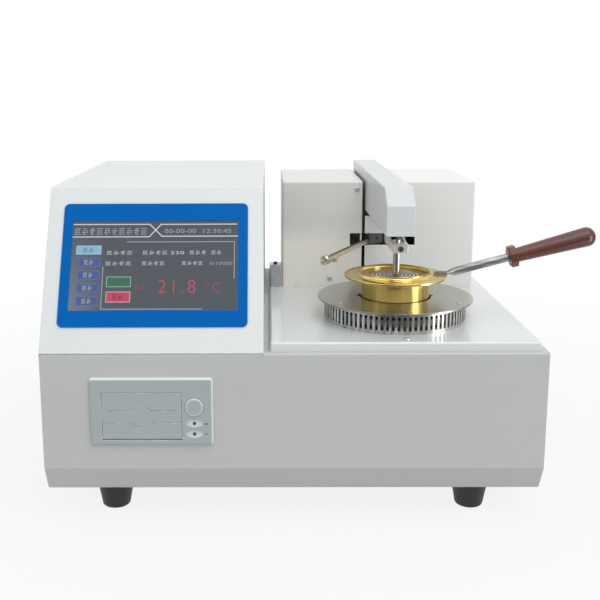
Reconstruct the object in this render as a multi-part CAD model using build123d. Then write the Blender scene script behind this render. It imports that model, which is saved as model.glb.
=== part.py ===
"""Automatic open-cup flash point tester, bench model.

A folded-sheet cabinet carries a touch-screen console on the left and a raised deck on the right.
On the deck stand the hot plate with its brass test cup, and behind it the head housing, out of
which the lift arm (temperature probe) and the igniter arm reach over the cup.

Frame: millimetres, +X to the right, +Y to the back, +Z up. The origin is on the bench,
under the centre of the cabinet's footprint.
"""

import math
import os

from build123d import *

os.makedirs("parts", exist_ok=True)

# ---------------------------------------------------------------- driving dimensions
# Cabinet
CABINET_W = 456.0  # over the front panel
CABINET_D = 381.0  # front face to back face
FOOT_H = 28.0  # bench to the underside of the cabinet
FRONT_H = 161.2  # bench to the fold at the top of the front face
KICK_RISE = 24.2  # height of the undercut strip at the foot of the front
KICK_RUN = 12.5  # how far that strip runs back
SHEET = 1.5  # cabinet sheet steel
BEND_R = 2.0  # outside radius of a folded edge
LEDGE = 14.0  # inward ledges that carry the deck
TRAY_FLANGE_H = 15.0  # upturned edge of the base tray

# Console
CONSOLE_W = 201.0
CONSOLE_H = 301.7
FACE_RUN = 77.0  # how far the screen face leans back over its height
SCREEN_W = 154.0  # seven-inch display, lit area
SCREEN_H = 86.5
SCREEN_UP = 82.9  # centre of the screen, measured up the sloping face
SCREEN_BORDER = 3.0  # frame of the display module round its lit area
MODULE_T = 6.0  # depth of the display module behind the face
BEZEL_SIDE = 9.0  # bezel beyond the lit area, at the sides
BEZEL_EDGE = 16.25  # the same above and below, on average
BEZEL_UP = 83.6
BEZEL_T = 1.2
BEZEL_CORNER_R = 5.0

# Deck
DECK_GAP = 6.0  # groove between the console and the deck pan
DECK_INSET = 5.5  # deck pan to the outer faces of the cabinet
DECK_RISE = 8.5  # deck top above the front fold
DECK_T = 2.0
HEATER_HOLE_R = 53.0

# Cup, hot plate and guard
CUP_X = 102.5
CUP_BEHIND_FRONT = 98.9  # cup axis to the cabinet's front face
CUP_RIM_H = 46.5  # rim above the deck
CUP_BORE_R = 31.75
CUP_BODY_R = 34.1
CUP_DEPTH = 33.5
CUP_FLOOR_T = 3.0
LIP_H = 3.6  # mouth above the flange
LIP_COVE_RUN = 3.6  # hollow slope from the lip out to the flange
LIP_COVE_RISE = 2.2
LIP_ROUND_R = 0.6
FLANGE_R = 50.0
FLANGE_T = 2.4
FLANGE_ROUND_R = 0.8
FLANGE_FILLET = 1.0  # cone under the flange
RIM_BEVEL = 1.3
FILL_MARK_DEPTH = 9.5
PLATE_R = 60.0
PLATE_T = 6.4
CUP_SEAT_DEPTH = 0.6
CUP_SEAT_CLEAR = 0.3
ELEMENT_R = 50.0
ELEMENT_T = 16.0
BOARD_R = 58.0
COVER_R = 76.0  # round stainless cover over the hot plate
COVER_T = 1.5
COVER_HEIGHT = 21.3  # top of that cover above the deck
CUP_HOLE_CLEAR = 1.4
GUARD_R = 69.5
GUARD_T = 1.0
GUARD_SLOTS = 84
SLOT_W = 2.6
SLOT_H = 13.5
COVER_POST_RING_R = 65.5
COVER_POST_R = 2.8
PLATE_FOOT_RING_R = 56.5
PLATE_FOOT_R = 2.8

# Cup handle
TAB_START = 38.5  # from the cup's axis
TAB_END = 50.6
TAB_W = 10.5
TAB_T = 2.0
SHANK_R = 4.0
SHANK_LENGTH = 62.7
SHANK_FLARE = 8.0
HANDLE_DROP = 0.6  # shank axis below the tab where the flare begins
TANG_R = 2.5
TANG_L = 48.0
HANDLE_RISE_DEG = 15.0
COLLAR_R = 11.0
COLLAR_T = 7.0
GRIP_LENGTH = 78.8
GRIP_ROOT_R = 7.0
GRIP_TIP_R = 9.9

# Head housing
HEAD_FROM_CONSOLE = 20.7  # console's side wall to the housing
HEAD_BEFORE_IGNITER = 16.7  # front face to the igniter axis
HEAD_H = 120.4
HEAD_FROM_RIGHT = 19.3  # housing to the cabinet's right side
ARM_LIFT_DEG = 50.0
CABLE_HOLE_IN = 60.0  # from the housing's left side and from its front
CABLE_HOLE_W = 40.0
CABLE_HOLE_D = 30.0
SEAM_W = 3.4  # open seam between the two covers
IGNITER_SLOT_LEFT = 32.9  # slot ends, from the igniter axis
IGNITER_SLOT_RIGHT = 40.3
IGNITER_SLOT_H = 13.4
IGNITER_SLOT_UP = 55.1  # middle of the slot above the deck
FRAME_T = 2.0  # inner head frame
SEAM_FLANGE = 8.0  # left cover's folded return at the seam
SEAM_FLANGE_GAP = 0.5  # round that return
SEAM_BACKING = 6.0  # frame behind the seam at the back, on each side of it
WEB_W = 46.0  # plate across the frame under the arm
WEB_UNDER_ARM = 4.0
UPRIGHT_T = 3.0

# Lift arm
ARM_W = 27.0
ARM_LEFT_OF_CUP = 2.5  # arm centre line, left of the cup's axis
ARM_FRONT = 140.5  # arm front face, in front of the frame origin
ARM_BOTTOM_UP = 88.4  # above the deck
ARM_NOSE_UP = 116.7
ARM_TOP_UP = 132.5
ARM_NOSE_RUN = 19.5
ARM_WALL = 1.2
ARM_SIDE_GAP = 2.0
ARM_CUT_UP = 81.5  # bottom of the cover's arm opening, above the deck
ARM_BACK_CUT_UP = 64.0
PIVOT_FROM_BACK = 29.0
PIVOT_UP = 104.0
PIVOT_SHAFT_R = 4.0
BUSH_WALL = 2.0
BUSH_FLANGE_T = 1.0
RUN_CLEAR = 0.05  # radial running clearance of turned fits
ARM_BAR_W = 10.0
ARM_BAR_H = 18.0
ARM_HUB_R = 11.0

# Lift gearing
GEAR_MODULE = 1.0
GEAR_TEETH = 48
PINION_TEETH = 16
GEAR_W = 6.0
GEAR_BACKLASH = 0.2
PINION_BEARING_DEG = 225.0  # pinion seen from the pivot, from +Y towards +Z
PINION_SHAFT_R = 3.0
LIFT_MOTOR_R = 17.0
LIFT_MOTOR_L = 46.0

# Temperature probe and its bracket
PROBE_R = 3.5
PROBE_FROM_CUP_AXIS = 16.0  # towards the front
PROBE_LEFT_OF_CUP = 1.2
PROBE_TIP_GAP = 6.4  # probe tip above the cup's floor
YOKE_W = 14.5
YOKE_RIGHT_OF_PROBE = 2.9  # middle of the yoke from the probe
YOKE_BLOCK_D = 14.0
YOKE_BLOCK_H = 8.4
YOKE_UP = 67.8  # underside above the deck
YOKE_L = 66.0
YOKE_T = 1.5

# Igniter
IGNITER_R = 150.0  # nozzle sweep radius, through the cup's axis
PARK_DEG = 26.9  # parked nozzle, left of straight ahead
IGNITER_TUBE_R = 3.0
IGNITER_BORE_R = 2.0
TUBE_ROOT_LEFT = 14.5  # tube root from the igniter axis
TUBE_ROOT_AHEAD = 15.2
TUBE_ROOT_UP = 52.4
TUBE_TIP_UP = 53.9
HUB_R = 10.5
HUB_NOSE_R = 5.0
HUB_H = 12.4
TUBE_IN_HUB = 8.0
TIP_R = 5.0  # head at the tube's end
TIP_L = 8.5
TIP_BEYOND = 4.0  # how far it reaches past the sweep radius
TIP_SLOT = 3.0
FLAME_BORE_R = 0.7
NUT_R = 4.0
NUT_DROP = 6.1  # underside of the nut below the tube's axis
NUT_BEHIND = 26.0  # nut to the sweep radius
IGNITER_MOTOR_W = 28.2
IGNITER_MOTOR_L = 34.0
IGNITER_SHAFT_R = 2.5
HUB_SCREWS_LEFT = (11.4, 1.6)  # from the igniter axis

# Gas valve beside the housing
VALVE_W = 12.0
VALVE_D = 16.0
VALVE_H = 25.5
VALVE_KNOB_R = 2.3
VALVE_KNOB_H = 1.9
VALVE_FLUTES = 12
VALVE_FLUTE_R = 0.25
VALVE_STEM_R = 1.5

# Printer
PRINTER_W = 111.5
PRINTER_H = 63.5
PRINTER_LEFT = 44.0  # from the cabinet's left edge
PRINTER_BOTTOM = 76.0  # above the bench
PRINTER_PROUD = 4.0
PRINTER_D = 62.0  # behind the front panel
PRINTER_WALL = 2.0
FLANGE_LIP = 4.0  # printer face beyond its panel cut-out
DOOR_LEFT = 11.5  # door, from the printer's left edge
DOOR_W = 71.5
DOOR_BOTTOM = 6.0
DOOR_H = 44.0
DOOR_T = 3.0
DOOR_GAP = 0.35
DOOR_LOWER_GAP = 0.9
DOOR_BAND_UP = 21.5  # middle of the raised band, above the door's lower edge
DOOR_BAND_H = 11.5
DOOR_DISC_R = 9.9
DOOR_GROOVE = 0.6
DOOR_PIN_R = 1.25
DOOR_PIN_L = 2.2
BUTTON_R = 8.2
BUTTON_FROM_RIGHT = 17.0
BUTTON_UP = 36.7
BUTTON_PROUD = 1.4
BUTTON_L = 8.0
BUTTON_GAP = 0.3
LED_R = 1.6
LED_UP = (20.9, 10.8)
LED_WELL_W = 12.4
LED_WELL_H = 5.4
LED_WELL_T = 0.8
ROLL_R = 17.0
ROLL_CORE_R = 6.0
ROLL_W = 56.0
PLATEN_R = 5.0
PLATEN_SHAFT_R = 1.5
PLATEN_W = 58.0
PLATEN_BEHIND_FRONT = 7.0
ROLL_BEHIND_FRONT = 22.0
ROLL_FLOOR_GAP = 3.0
BAY_LIP = 2.5  # frame of the paper bay the door closes on

# Feet and rear services
FOOT_TOP_R = 18.0
FOOT_BOTTOM_R = 12.9
FOOT_IN_X = 58.5
FOOT_IN_Y = 38.5
FOOT_BORE_R = 5.0
FAN_SIZE = 60.0
FAN_D = 20.0
FAN_HUB_R = 13.0
FAN_TIP_R = 27.0
FAN_BLADES = 7
INLET_W = 28.0
INLET_H = 22.0
INLET_D = 22.0
SWITCH_W = 14.0
SWITCH_H = 20.0
SWITCH_D = 16.0
SWITCH_WELL = 9.0  # depth of the rocker's well
SWITCH_WALL = 1.5
SOCKET_W = 24.0
SOCKET_H = 17.2
SOCKET_D = 16.0
ROCKER_DEG = 10.0
FAN_FROM_LEFT = 62.0
FAN_UP = 170.0  # above the cabinet's underside, like the next three
INLET_FROM_LEFT = 60.0
INLET_UP = 42.0
INLET_FLANGE = 2.0
SWITCH_FROM_INLET = 34.0
BARB_FROM_RIGHT = 60.0
BARB_UP = 60.0
BARB_R = 4.0
BARB_L = 16.0

# Modules inside the cabinet
BOARD_T = 1.6
BOARD_BOSS_H = 8.0
BOARD_BOSS_R = 3.0
MAIN_BOARD_W = 130.0
MAIN_BOARD_D = 100.0
MAIN_BOARD_FROM_LEFT = 215.0
MAIN_BOARD_FROM_BACK = 30.5
CHIP_SIDE = 25.0
CHIP_H = 3.0
RELAY_W = 40.0
RELAY_D = 30.0
RELAY_H = 15.0
CAPACITOR_R = 8.0
CAPACITOR_H = 22.0
PARTS_INSET = 15.0  # components from the board's edges
SUPPLY_W = 98.0
SUPPLY_D = 120.0
SUPPLY_H = 38.0
SUPPLY_FROM_LEFT = 90.0
SUPPLY_FROM_BACK = 30.0

# Fasteners
FOOT_SCREW_R = 2.0
RIVET_R = 1.5
RIVET_INSET = 3.2  # first rivet from the inner end of the handle tab
RIVET_PITCH = 5.6
RIVET_HEAD_H = 0.6
CLAMP_SCREW_R = 1.5
CLAMP_SCREW_L = 3.4
CLAMP_RIGHT_OF_PROBE = 2.75
CLAMP_HEAD_R = 2.6
CLAMP_HEAD_H = 2.0
SCREW_R = 1.5
SCREW_HEAD_R = 2.9
SCREW_HEAD_H = 1.7
DECK_SCREW_AHEAD = 85.4  # single deck screw, in front of the cup's axis

# ---------------------------------------------------------------- places worked out from them
X_LEFT, X_RIGHT = -CABINET_W / 2, CABINET_W / 2
Y_FRONT, Y_BACK = -CABINET_D / 2, CABINET_D / 2
CONSOLE_RIGHT = X_LEFT + CONSOLE_W
DECK_Z = FRONT_H + DECK_RISE
DECK_LEFT = CONSOLE_RIGHT + DECK_GAP
BEZEL_W = SCREEN_W + 2 * BEZEL_SIDE
BEZEL_H = SCREEN_H + 2 * BEZEL_EDGE
FACE_DEG = math.degrees(math.atan2(CONSOLE_H - FRONT_H, FACE_RUN))
CUP_Y = Y_FRONT + CUP_BEHIND_FRONT
RIM_Z = DECK_Z + CUP_RIM_H
FLANGE_Z = RIM_Z - LIP_H
CUP_FLOOR_Z = RIM_Z - CUP_DEPTH
CUP_BOTTOM_Z = CUP_FLOOR_Z - CUP_FLOOR_T
PLATE_TOP_Z = CUP_BOTTOM_Z + CUP_SEAT_DEPTH
PLATE_Z = PLATE_TOP_Z - PLATE_T
COVER_Z = DECK_Z + COVER_HEIGHT - COVER_T
HEAD_RIGHT = X_RIGHT - HEAD_FROM_RIGHT
HEAD_LEFT = CONSOLE_RIGHT + HEAD_FROM_CONSOLE
IGNITER_Y = CUP_Y + IGNITER_R
HEAD_FRONT = IGNITER_Y - HEAD_BEFORE_IGNITER
HEAD_TOP = DECK_Z + HEAD_H
ARM_X = CUP_X - ARM_LEFT_OF_CUP
ARM_LEFT, ARM_RIGHT = ARM_X - ARM_W / 2, ARM_X + ARM_W / 2
SEAM_RIGHT = ARM_LEFT - 0.1
SEAM_LEFT = SEAM_RIGHT - SEAM_W
PIVOT_Y = Y_BACK - PIVOT_FROM_BACK
PIVOT_Z = DECK_Z + PIVOT_UP
UPRIGHT_1 = ARM_RIGHT + BUSH_FLANGE_T + 1.5
GEAR_X = UPRIGHT_1 + UPRIGHT_T + 3.0
UPRIGHT_2 = GEAR_X + GEAR_W + 5.0
SLOT_Z = DECK_Z + IGNITER_SLOT_UP
HUB_Z = SLOT_Z - HUB_H / 2
PROBE_X = CUP_X - PROBE_LEFT_OF_CUP
PROBE_Y = CUP_Y - PROBE_FROM_CUP_AXIS
PRINTER_X = X_LEFT + PRINTER_LEFT
FAN_X, FAN_Z = X_LEFT + FAN_FROM_LEFT, FOOT_H + FAN_UP
INLET_X, INLET_Z = X_LEFT + INLET_FROM_LEFT, FOOT_H + INLET_UP
SWITCH_X = INLET_X + SWITCH_FROM_INLET
BARB_X, BARB_Z = X_RIGHT - BARB_FROM_RIGHT, FOOT_H + BARB_UP
BOARD_Z = FOOT_H + SHEET + BOARD_BOSS_H
BOARD_X = X_LEFT + MAIN_BOARD_FROM_LEFT
BOARD_Y = Y_BACK - MAIN_BOARD_FROM_BACK - MAIN_BOARD_D
PRINTER_FRONT = Y_FRONT - PRINTER_PROUD
DOOR_X = (PRINTER_X + DOOR_LEFT, PRINTER_X + DOOR_LEFT + DOOR_W)
DOOR_Z = (PRINTER_BOTTOM + DOOR_BOTTOM, PRINTER_BOTTOM + DOOR_BOTTOM + DOOR_H)
BAY_X = (DOOR_X[0] + BAY_LIP, DOOR_X[1] - BAY_LIP)
BUTTON_X = PRINTER_X + PRINTER_W - BUTTON_FROM_RIGHT
BUTTON_Z = PRINTER_BOTTOM + BUTTON_UP
ROLL_Y = Y_FRONT + ROLL_BEHIND_FRONT
ROLL_Z = DOOR_Z[0] + ROLL_R + ROLL_FLOOR_GAP
PLATEN_Y = Y_FRONT + PLATEN_BEHIND_FRONT
PLATEN_Z = DOOR_Z[1] - PLATEN_R - 1.8
PIN_Y = PRINTER_FRONT + DOOR_T / 2
PIN_Z = DOOR_Z[0] + DOOR_T / 2

# ---------------------------------------------------------------- shape helpers
def block(x_span, y_span, z_span):
    """A box between two X, two Y and two Z values."""
    size = [b - a for a, b in (x_span, y_span, z_span)]
    middle = [(a + b) / 2 for a, b in (x_span, y_span, z_span)]
    return Pos(*middle) * Box(*size)


def post(x, y, z_span, radius):
    """An upright cylinder."""
    return Pos(x, y, sum(z_span) / 2) * Cylinder(radius, z_span[1] - z_span[0])


def rod_x(x_span, y, z, radius):
    """A cylinder along X."""
    return Pos(sum(x_span) / 2, y, z) * Rot(0, 90, 0) * Cylinder(radius, x_span[1] - x_span[0])


def rod_y(x, y_span, z, radius):
    """A cylinder along Y."""
    return Pos(x, sum(y_span) / 2, z) * Rot(90, 0, 0) * Cylinder(radius, y_span[1] - y_span[0])


def prism_x(points, x_span):
    """A polygon given as (y, z) points, run along X."""
    face = make_face(Polyline(*[(0, y, z) for y, z in points], close=True))
    return Pos(x_span[0], 0, 0) * extrude(face, amount=x_span[1] - x_span[0], dir=(1, 0, 0))


def inset(points, distance):
    """An open polyline moved sideways to its right by one distance, mitred at the corners."""
    moved = []
    for i, point in enumerate(points):
        before = points[max(i - 1, 0)]
        after = points[min(i + 1, len(points) - 1)]
        normals = []
        for a, b in ((before, point), (point, after)):
            length = math.hypot(b[0] - a[0], b[1] - a[1])
            if length > 0:
                normals.append(((b[1] - a[1]) / length, -(b[0] - a[0]) / length))
        nx, ny = sum(n[0] for n in normals), sum(n[1] for n in normals)
        scale = len(normals) * distance / (nx * nx + ny * ny)
        moved.append((point[0] + nx * scale, point[1] + ny * scale))
    return moved


def folded_sheet(points, thickness, x_span, bend=BEND_R):
    """Sheet metal folded along X: points (y, z) run along its outer face, metal lies to the right."""
    inner = inset(points, thickness)
    solid = prism_x(points + inner[::-1], x_span)
    solid = fillet([e for e in solid.edges().filter_by(Axis.X) if near(e, points[1:-1])], bend)
    inner_bends = [e for e in solid.edges().filter_by(Axis.X) if near(e, inner[1:-1])]
    return fillet(inner_bends, bend - thickness)


def near(edge, points, tolerance=0.01):
    """Whether an edge along X passes through one of the (y, z) points."""
    middle = edge.center()
    return any(math.hypot(middle.Y - y, middle.Z - z) < tolerance for y, z in points)


def largest(shape):
    """The main solid of a shape, without the slivers left outside a neighbour's bend."""
    return max(shape.solids(), key=lambda solid: solid.volume)


def save(name, shape):
    """Writes one sub-part."""
    solids = shape.solids()
    export_step(solids[0] if len(solids) == 1 else Compound(children=list(solids)), f"parts/{name}.step")


# ---------------------------------------------------------------- cabinet
def make_front_panel():
    """Undercut strip, front face and top ledge, folded from one sheet, with the printer's cut-out."""
    outer = [
        (Y_FRONT + KICK_RUN, FOOT_H),
        (Y_FRONT, FOOT_H + KICK_RISE),
        (Y_FRONT, FRONT_H),
        (Y_FRONT + LEDGE, FRONT_H),
    ]
    panel = folded_sheet(outer, SHEET, (X_LEFT, X_RIGHT))
    panel -= block((X_LEFT, X_RIGHT), (Y_FRONT, Y_FRONT + 3 * KICK_RUN), (FOOT_H - 5, FOOT_H))
    return panel - block(
        (PRINTER_X + FLANGE_LIP, PRINTER_X + PRINTER_W - FLANGE_LIP),
        (Y_FRONT - 1, Y_FRONT + SHEET + 1),
        (PRINTER_BOTTOM + FLANGE_LIP, PRINTER_BOTTOM + PRINTER_H - FLANGE_LIP),
    )


def on_face(across, up, out=0.0):
    """Placement on the screen face: across from its left edge, up the slope, out of the face."""
    foot = Plane(origin=(X_LEFT, Y_FRONT, FRONT_H), x_dir=(1, 0, 0), z_dir=face_normal())
    return foot * Pos(across, up, out)


def face_normal():
    """Outward normal of the screen face."""
    angle = math.radians(FACE_DEG)
    return (0, -math.sin(angle), math.cos(angle))


def make_console_cover():
    """Screen face and top of the console, one folded sheet with the screen's cut-out."""
    outer = [
        (Y_FRONT, FRONT_H),
        (Y_FRONT + FACE_RUN, CONSOLE_H),
        (Y_BACK, CONSOLE_H),
    ]
    cover = folded_sheet(outer, SHEET, (X_LEFT, CONSOLE_RIGHT))
    cover -= block((X_LEFT, CONSOLE_RIGHT), (Y_FRONT, Y_FRONT + 20), (FRONT_H - 10, FRONT_H))
    window = Box(SCREEN_W + 2 * SCREEN_BORDER, SCREEN_H + 2 * SCREEN_BORDER, 4 * SHEET)
    return cover - on_face(CONSOLE_W / 2, SCREEN_UP) * window


def console_section(x_span):
    """Side plate of the console, filling its outline inside the folded sheets."""
    return prism_x(
        [
            (Y_FRONT + KICK_RUN, FOOT_H),
            (Y_FRONT, FOOT_H + KICK_RISE),
            (Y_FRONT, FRONT_H),
            (Y_FRONT + FACE_RUN, CONSOLE_H),
            (Y_BACK, CONSOLE_H),
            (Y_BACK, FOOT_H),
        ],
        x_span,
    )


def make_base_tray(front_panel):
    """Floor of the cabinet with an upturned flange on every side and bosses for the main board."""
    x_span = (X_LEFT + SHEET, X_RIGHT - SHEET)
    y_span = (Y_FRONT + KICK_RUN, Y_BACK - SHEET)
    tray = block(x_span, y_span, (FOOT_H, FOOT_H + SHEET))
    top = (FOOT_H + SHEET, FOOT_H + TRAY_FLANGE_H)
    for x in (x_span[0], x_span[1] - SHEET):
        tray += block((x, x + SHEET), (Y_FRONT + KICK_RUN + LEDGE, y_span[1]), top)
    tray += block(x_span, (y_span[1] - SHEET, y_span[1]), top)
    for x, y in board_corners():
        tray += post(x, y, (FOOT_H + SHEET, BOARD_Z), BOARD_BOSS_R)
    for x, y in foot_places():
        tray -= post(x, y, (FOOT_H - 1, FOOT_H + SHEET + 1), FOOT_SCREW_R + 0.2)
    return tray - front_panel


def make_rear_panel():
    """Back of the cabinet: high behind the console, low behind the deck, with a ledge for the deck."""
    y_span = (Y_BACK - SHEET, Y_BACK)
    panel = block((X_LEFT + SHEET, CONSOLE_RIGHT), y_span, (FOOT_H, CONSOLE_H - SHEET))
    panel += block((CONSOLE_RIGHT, X_RIGHT - SHEET), y_span, (FOOT_H, FRONT_H))
    panel += block(
        (CONSOLE_RIGHT, X_RIGHT - LEDGE), (Y_BACK - LEDGE, Y_BACK), (FRONT_H - SHEET, FRONT_H)
    )
    slot_pitch = (FAN_SIZE - 8) / 8
    for i in range(8):
        x = FAN_X + (i - 3.5) * slot_pitch
        panel -= block((x - 1.6, x + 1.6), y_span, (FAN_Z - FAN_TIP_R + 3, FAN_Z + FAN_TIP_R - 3))
    panel -= block(
        (INLET_X - INLET_W / 2, INLET_X + INLET_W / 2),
        y_span,
        (INLET_Z - INLET_H / 2, INLET_Z + INLET_H / 2),
    )
    panel -= block(
        (SWITCH_X - SWITCH_W / 2, SWITCH_X + SWITCH_W / 2),
        y_span,
        (INLET_Z - SWITCH_H / 2, INLET_Z + SWITCH_H / 2),
    )
    return panel - rod_y(BARB_X, y_span, BARB_Z, BARB_R + 1.0)


def board_corners():
    """Corner bosses of the main board."""
    xs = (BOARD_X + 6, BOARD_X + MAIN_BOARD_W - 6)
    ys = (BOARD_Y + 6, BOARD_Y + MAIN_BOARD_D - 6)
    return [(x, y) for x in xs for y in ys]


def foot_places():
    """Centres of the four feet."""
    xs = (X_LEFT + FOOT_IN_X, X_RIGHT - FOOT_IN_X)
    ys = (Y_FRONT + FOOT_IN_Y, Y_BACK - FOOT_IN_Y)
    return [(x, y) for x in xs for y in ys]


def cable_hole(z_span):
    """Opening through the deck and the head frame for the head's cables."""
    x, y = HEAD_LEFT + CABLE_HOLE_IN, HEAD_FRONT + CABLE_HOLE_IN
    return block((x, x + CABLE_HOLE_W), (y, y + CABLE_HOLE_D), z_span)


def make_deck():
    """Deck pan: flat top, turned-down edges, hole for the hot plate, cable hole under the head."""
    x_span = (DECK_LEFT, X_RIGHT - DECK_INSET)
    y_span = (Y_FRONT + DECK_INSET, Y_BACK)
    pan = block(x_span, y_span, (FRONT_H, DECK_Z))
    rim = [e for e in pan.faces().sort_by(Axis.Z)[-1].edges()]
    corners = pan.edges().filter_by(Axis.Z)
    pan = fillet(rim + corners, BEND_R)
    pan -= block(
        (x_span[0] + DECK_T, x_span[1] - DECK_T),
        (y_span[0] + DECK_T, y_span[1] - DECK_T),
        (FRONT_H, DECK_Z - DECK_T),
    )
    pan -= post(CUP_X, CUP_Y, (FRONT_H, DECK_Z + 1), HEATER_HOLE_R)
    pan -= post(CUP_X, CUP_Y - DECK_SCREW_AHEAD, (DECK_Z - DECK_T - 1, DECK_Z + 1), SCREW_R)
    return pan - cable_hole((FRONT_H, DECK_Z + 1))


def make_foot(x, y):
    """One tapered rubber foot with a recess for its screw."""
    profile = make_face(
        Polyline(
            (FOOT_SCREW_R, 0, FOOT_H),
            (FOOT_TOP_R, 0, FOOT_H),
            (FOOT_BOTTOM_R, 0, 0),
            (FOOT_BORE_R, 0, 0),
            (FOOT_BORE_R, 0, FOOT_H - 6),
            (FOOT_SCREW_R, 0, FOOT_H - 6),
            close=True,
        )
    )
    foot = revolve(profile, Axis.Z)
    bottom = foot.edges().filter_by(GeomType.CIRCLE).sort_by(Axis.Z)
    ring = [e for e in bottom if abs(e.radius - FOOT_BOTTOM_R) < 0.01]
    return Pos(x, y, 0) * fillet(ring, 3.0)


def make_foot_screw(x, y):
    """Screw with its head in the foot's recess and a nut on the tray."""
    head = post(x, y, (FOOT_H - 9, FOOT_H - 6), FOOT_BORE_R - 1.0)
    shank = post(x, y, (FOOT_H - 6, FOOT_H + SHEET + 5), FOOT_SCREW_R)
    nut = post(x, y, (FOOT_H + SHEET, FOOT_H + SHEET + 3), FOOT_SCREW_R + 2)
    return head + shank + nut


# ---------------------------------------------------------------- console screen
def make_bezel():
    """Printed front overlay round the screen, with rounded corners and a window."""
    plate = Box(BEZEL_W, BEZEL_H, BEZEL_T, align=(Align.CENTER, Align.CENTER, Align.MIN))
    plate = fillet(plate.edges().filter_by(Axis.Z), BEZEL_CORNER_R)
    window = Pos(0, SCREEN_UP - BEZEL_UP, 0) * Box(SCREEN_W, SCREEN_H, 4 * BEZEL_T)
    return on_face(CONSOLE_W / 2, BEZEL_UP) * (plate - window)


def make_screen():
    """Touch display module: glass flush with the console face, body behind it."""
    body = Box(
        SCREEN_W + 2 * SCREEN_BORDER,
        SCREEN_H + 2 * SCREEN_BORDER,
        MODULE_T,
        align=(Align.CENTER, Align.CENTER, Align.MAX),
    )
    return on_face(CONSOLE_W / 2, SCREEN_UP) * body


def make_display_board():
    """Circuit board clipped to the back of the display module."""
    board = Box(SCREEN_W - 20, SCREEN_H - 12, BOARD_T, align=(Align.CENTER, Align.CENTER, Align.MAX))
    socket = Pos(30, 20, -BOARD_T) * Box(24, 12, 7, align=(Align.CENTER, Align.CENTER, Align.MAX))
    return on_face(CONSOLE_W / 2, SCREEN_UP, -MODULE_T) * (board + socket)


# ---------------------------------------------------------------- hot plate and guard
def around_cup(count, radius, start_deg=90.0):
    """Places on a circle about the cup's axis."""
    places = []
    for i in range(count):
        angle = math.radians(start_deg + i * 360 / count)
        places.append((CUP_X + radius * math.cos(angle), CUP_Y + radius * math.sin(angle)))
    return places


def make_hot_plate():
    """Round metal plate with the shallow seat that centres the cup."""
    plate = post(CUP_X, CUP_Y, (PLATE_Z, PLATE_TOP_Z), PLATE_R)
    seat = post(CUP_X, CUP_Y, (CUP_BOTTOM_Z, PLATE_TOP_Z + 1), CUP_BODY_R + CUP_SEAT_CLEAR)
    return plate - seat


def make_heating_element():
    """Cased electric element clamped under the hot plate, with its two terminals."""
    case = post(CUP_X, CUP_Y, (PLATE_Z - ELEMENT_T, PLATE_Z), ELEMENT_R)
    for side in (-1, 1):
        terminal_z = (PLATE_Z - ELEMENT_T - 8, PLATE_Z - ELEMENT_T)
        case += post(CUP_X + side * 10, CUP_Y, terminal_z, 3.0)
    return case


def make_insulation():
    """Ring of hard insulating board between the hot plate and its cover."""
    ring = post(CUP_X, CUP_Y, (PLATE_TOP_Z, COVER_Z), BOARD_R)
    return ring - post(CUP_X, CUP_Y, (PLATE_TOP_Z, COVER_Z), CUP_BODY_R + CUP_HOLE_CLEAR)


def make_plate_posts():
    """Short posts that carry the hot plate and tall ones that carry the round cover."""
    posts = [post(x, y, (DECK_Z, PLATE_Z), PLATE_FOOT_R) for x, y in around_cup(3, PLATE_FOOT_RING_R, 30)]
    for x, y in around_cup(3, COVER_POST_RING_R):
        spacer = post(x, y, (DECK_Z, COVER_Z), COVER_POST_R)
        posts.append(spacer - post(x, y, (COVER_Z - 8, COVER_Z), SCREW_R))
    return Compound(children=posts)


def make_round_cover():
    """Stainless disc over the hot plate, with the cup's hole and two finger notches."""
    disc = post(CUP_X, CUP_Y, (COVER_Z, COVER_Z + COVER_T), COVER_R)
    hole_r = CUP_BODY_R + CUP_HOLE_CLEAR
    through = (COVER_Z - 1, COVER_Z + COVER_T + 1)
    disc -= post(CUP_X, CUP_Y, through, hole_r)
    for side in (-1, 1):
        disc -= post(CUP_X + side * hole_r, CUP_Y, through, 2.5)
    for x, y in around_cup(3, COVER_POST_RING_R):
        disc -= post(x, y, through, SCREW_R)
    return disc


def make_guard():
    """Slotted stainless ring that stands on the deck round the hot plate."""
    guard = post(CUP_X, CUP_Y, (DECK_Z, COVER_Z), GUARD_R)
    guard -= post(CUP_X, CUP_Y, (DECK_Z, COVER_Z), GUARD_R - GUARD_T)
    middle = (DECK_Z + COVER_Z) / 2
    cutters = []
    for i in range(GUARD_SLOTS):
        turn = Pos(CUP_X, CUP_Y, middle) * Rot(0, 0, i * 360 / GUARD_SLOTS)
        cutters.append(turn * Pos(GUARD_R - GUARD_T / 2, 0, 0) * Box(4 * GUARD_T, SLOT_W, SLOT_H))
    return guard - cutters


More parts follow.
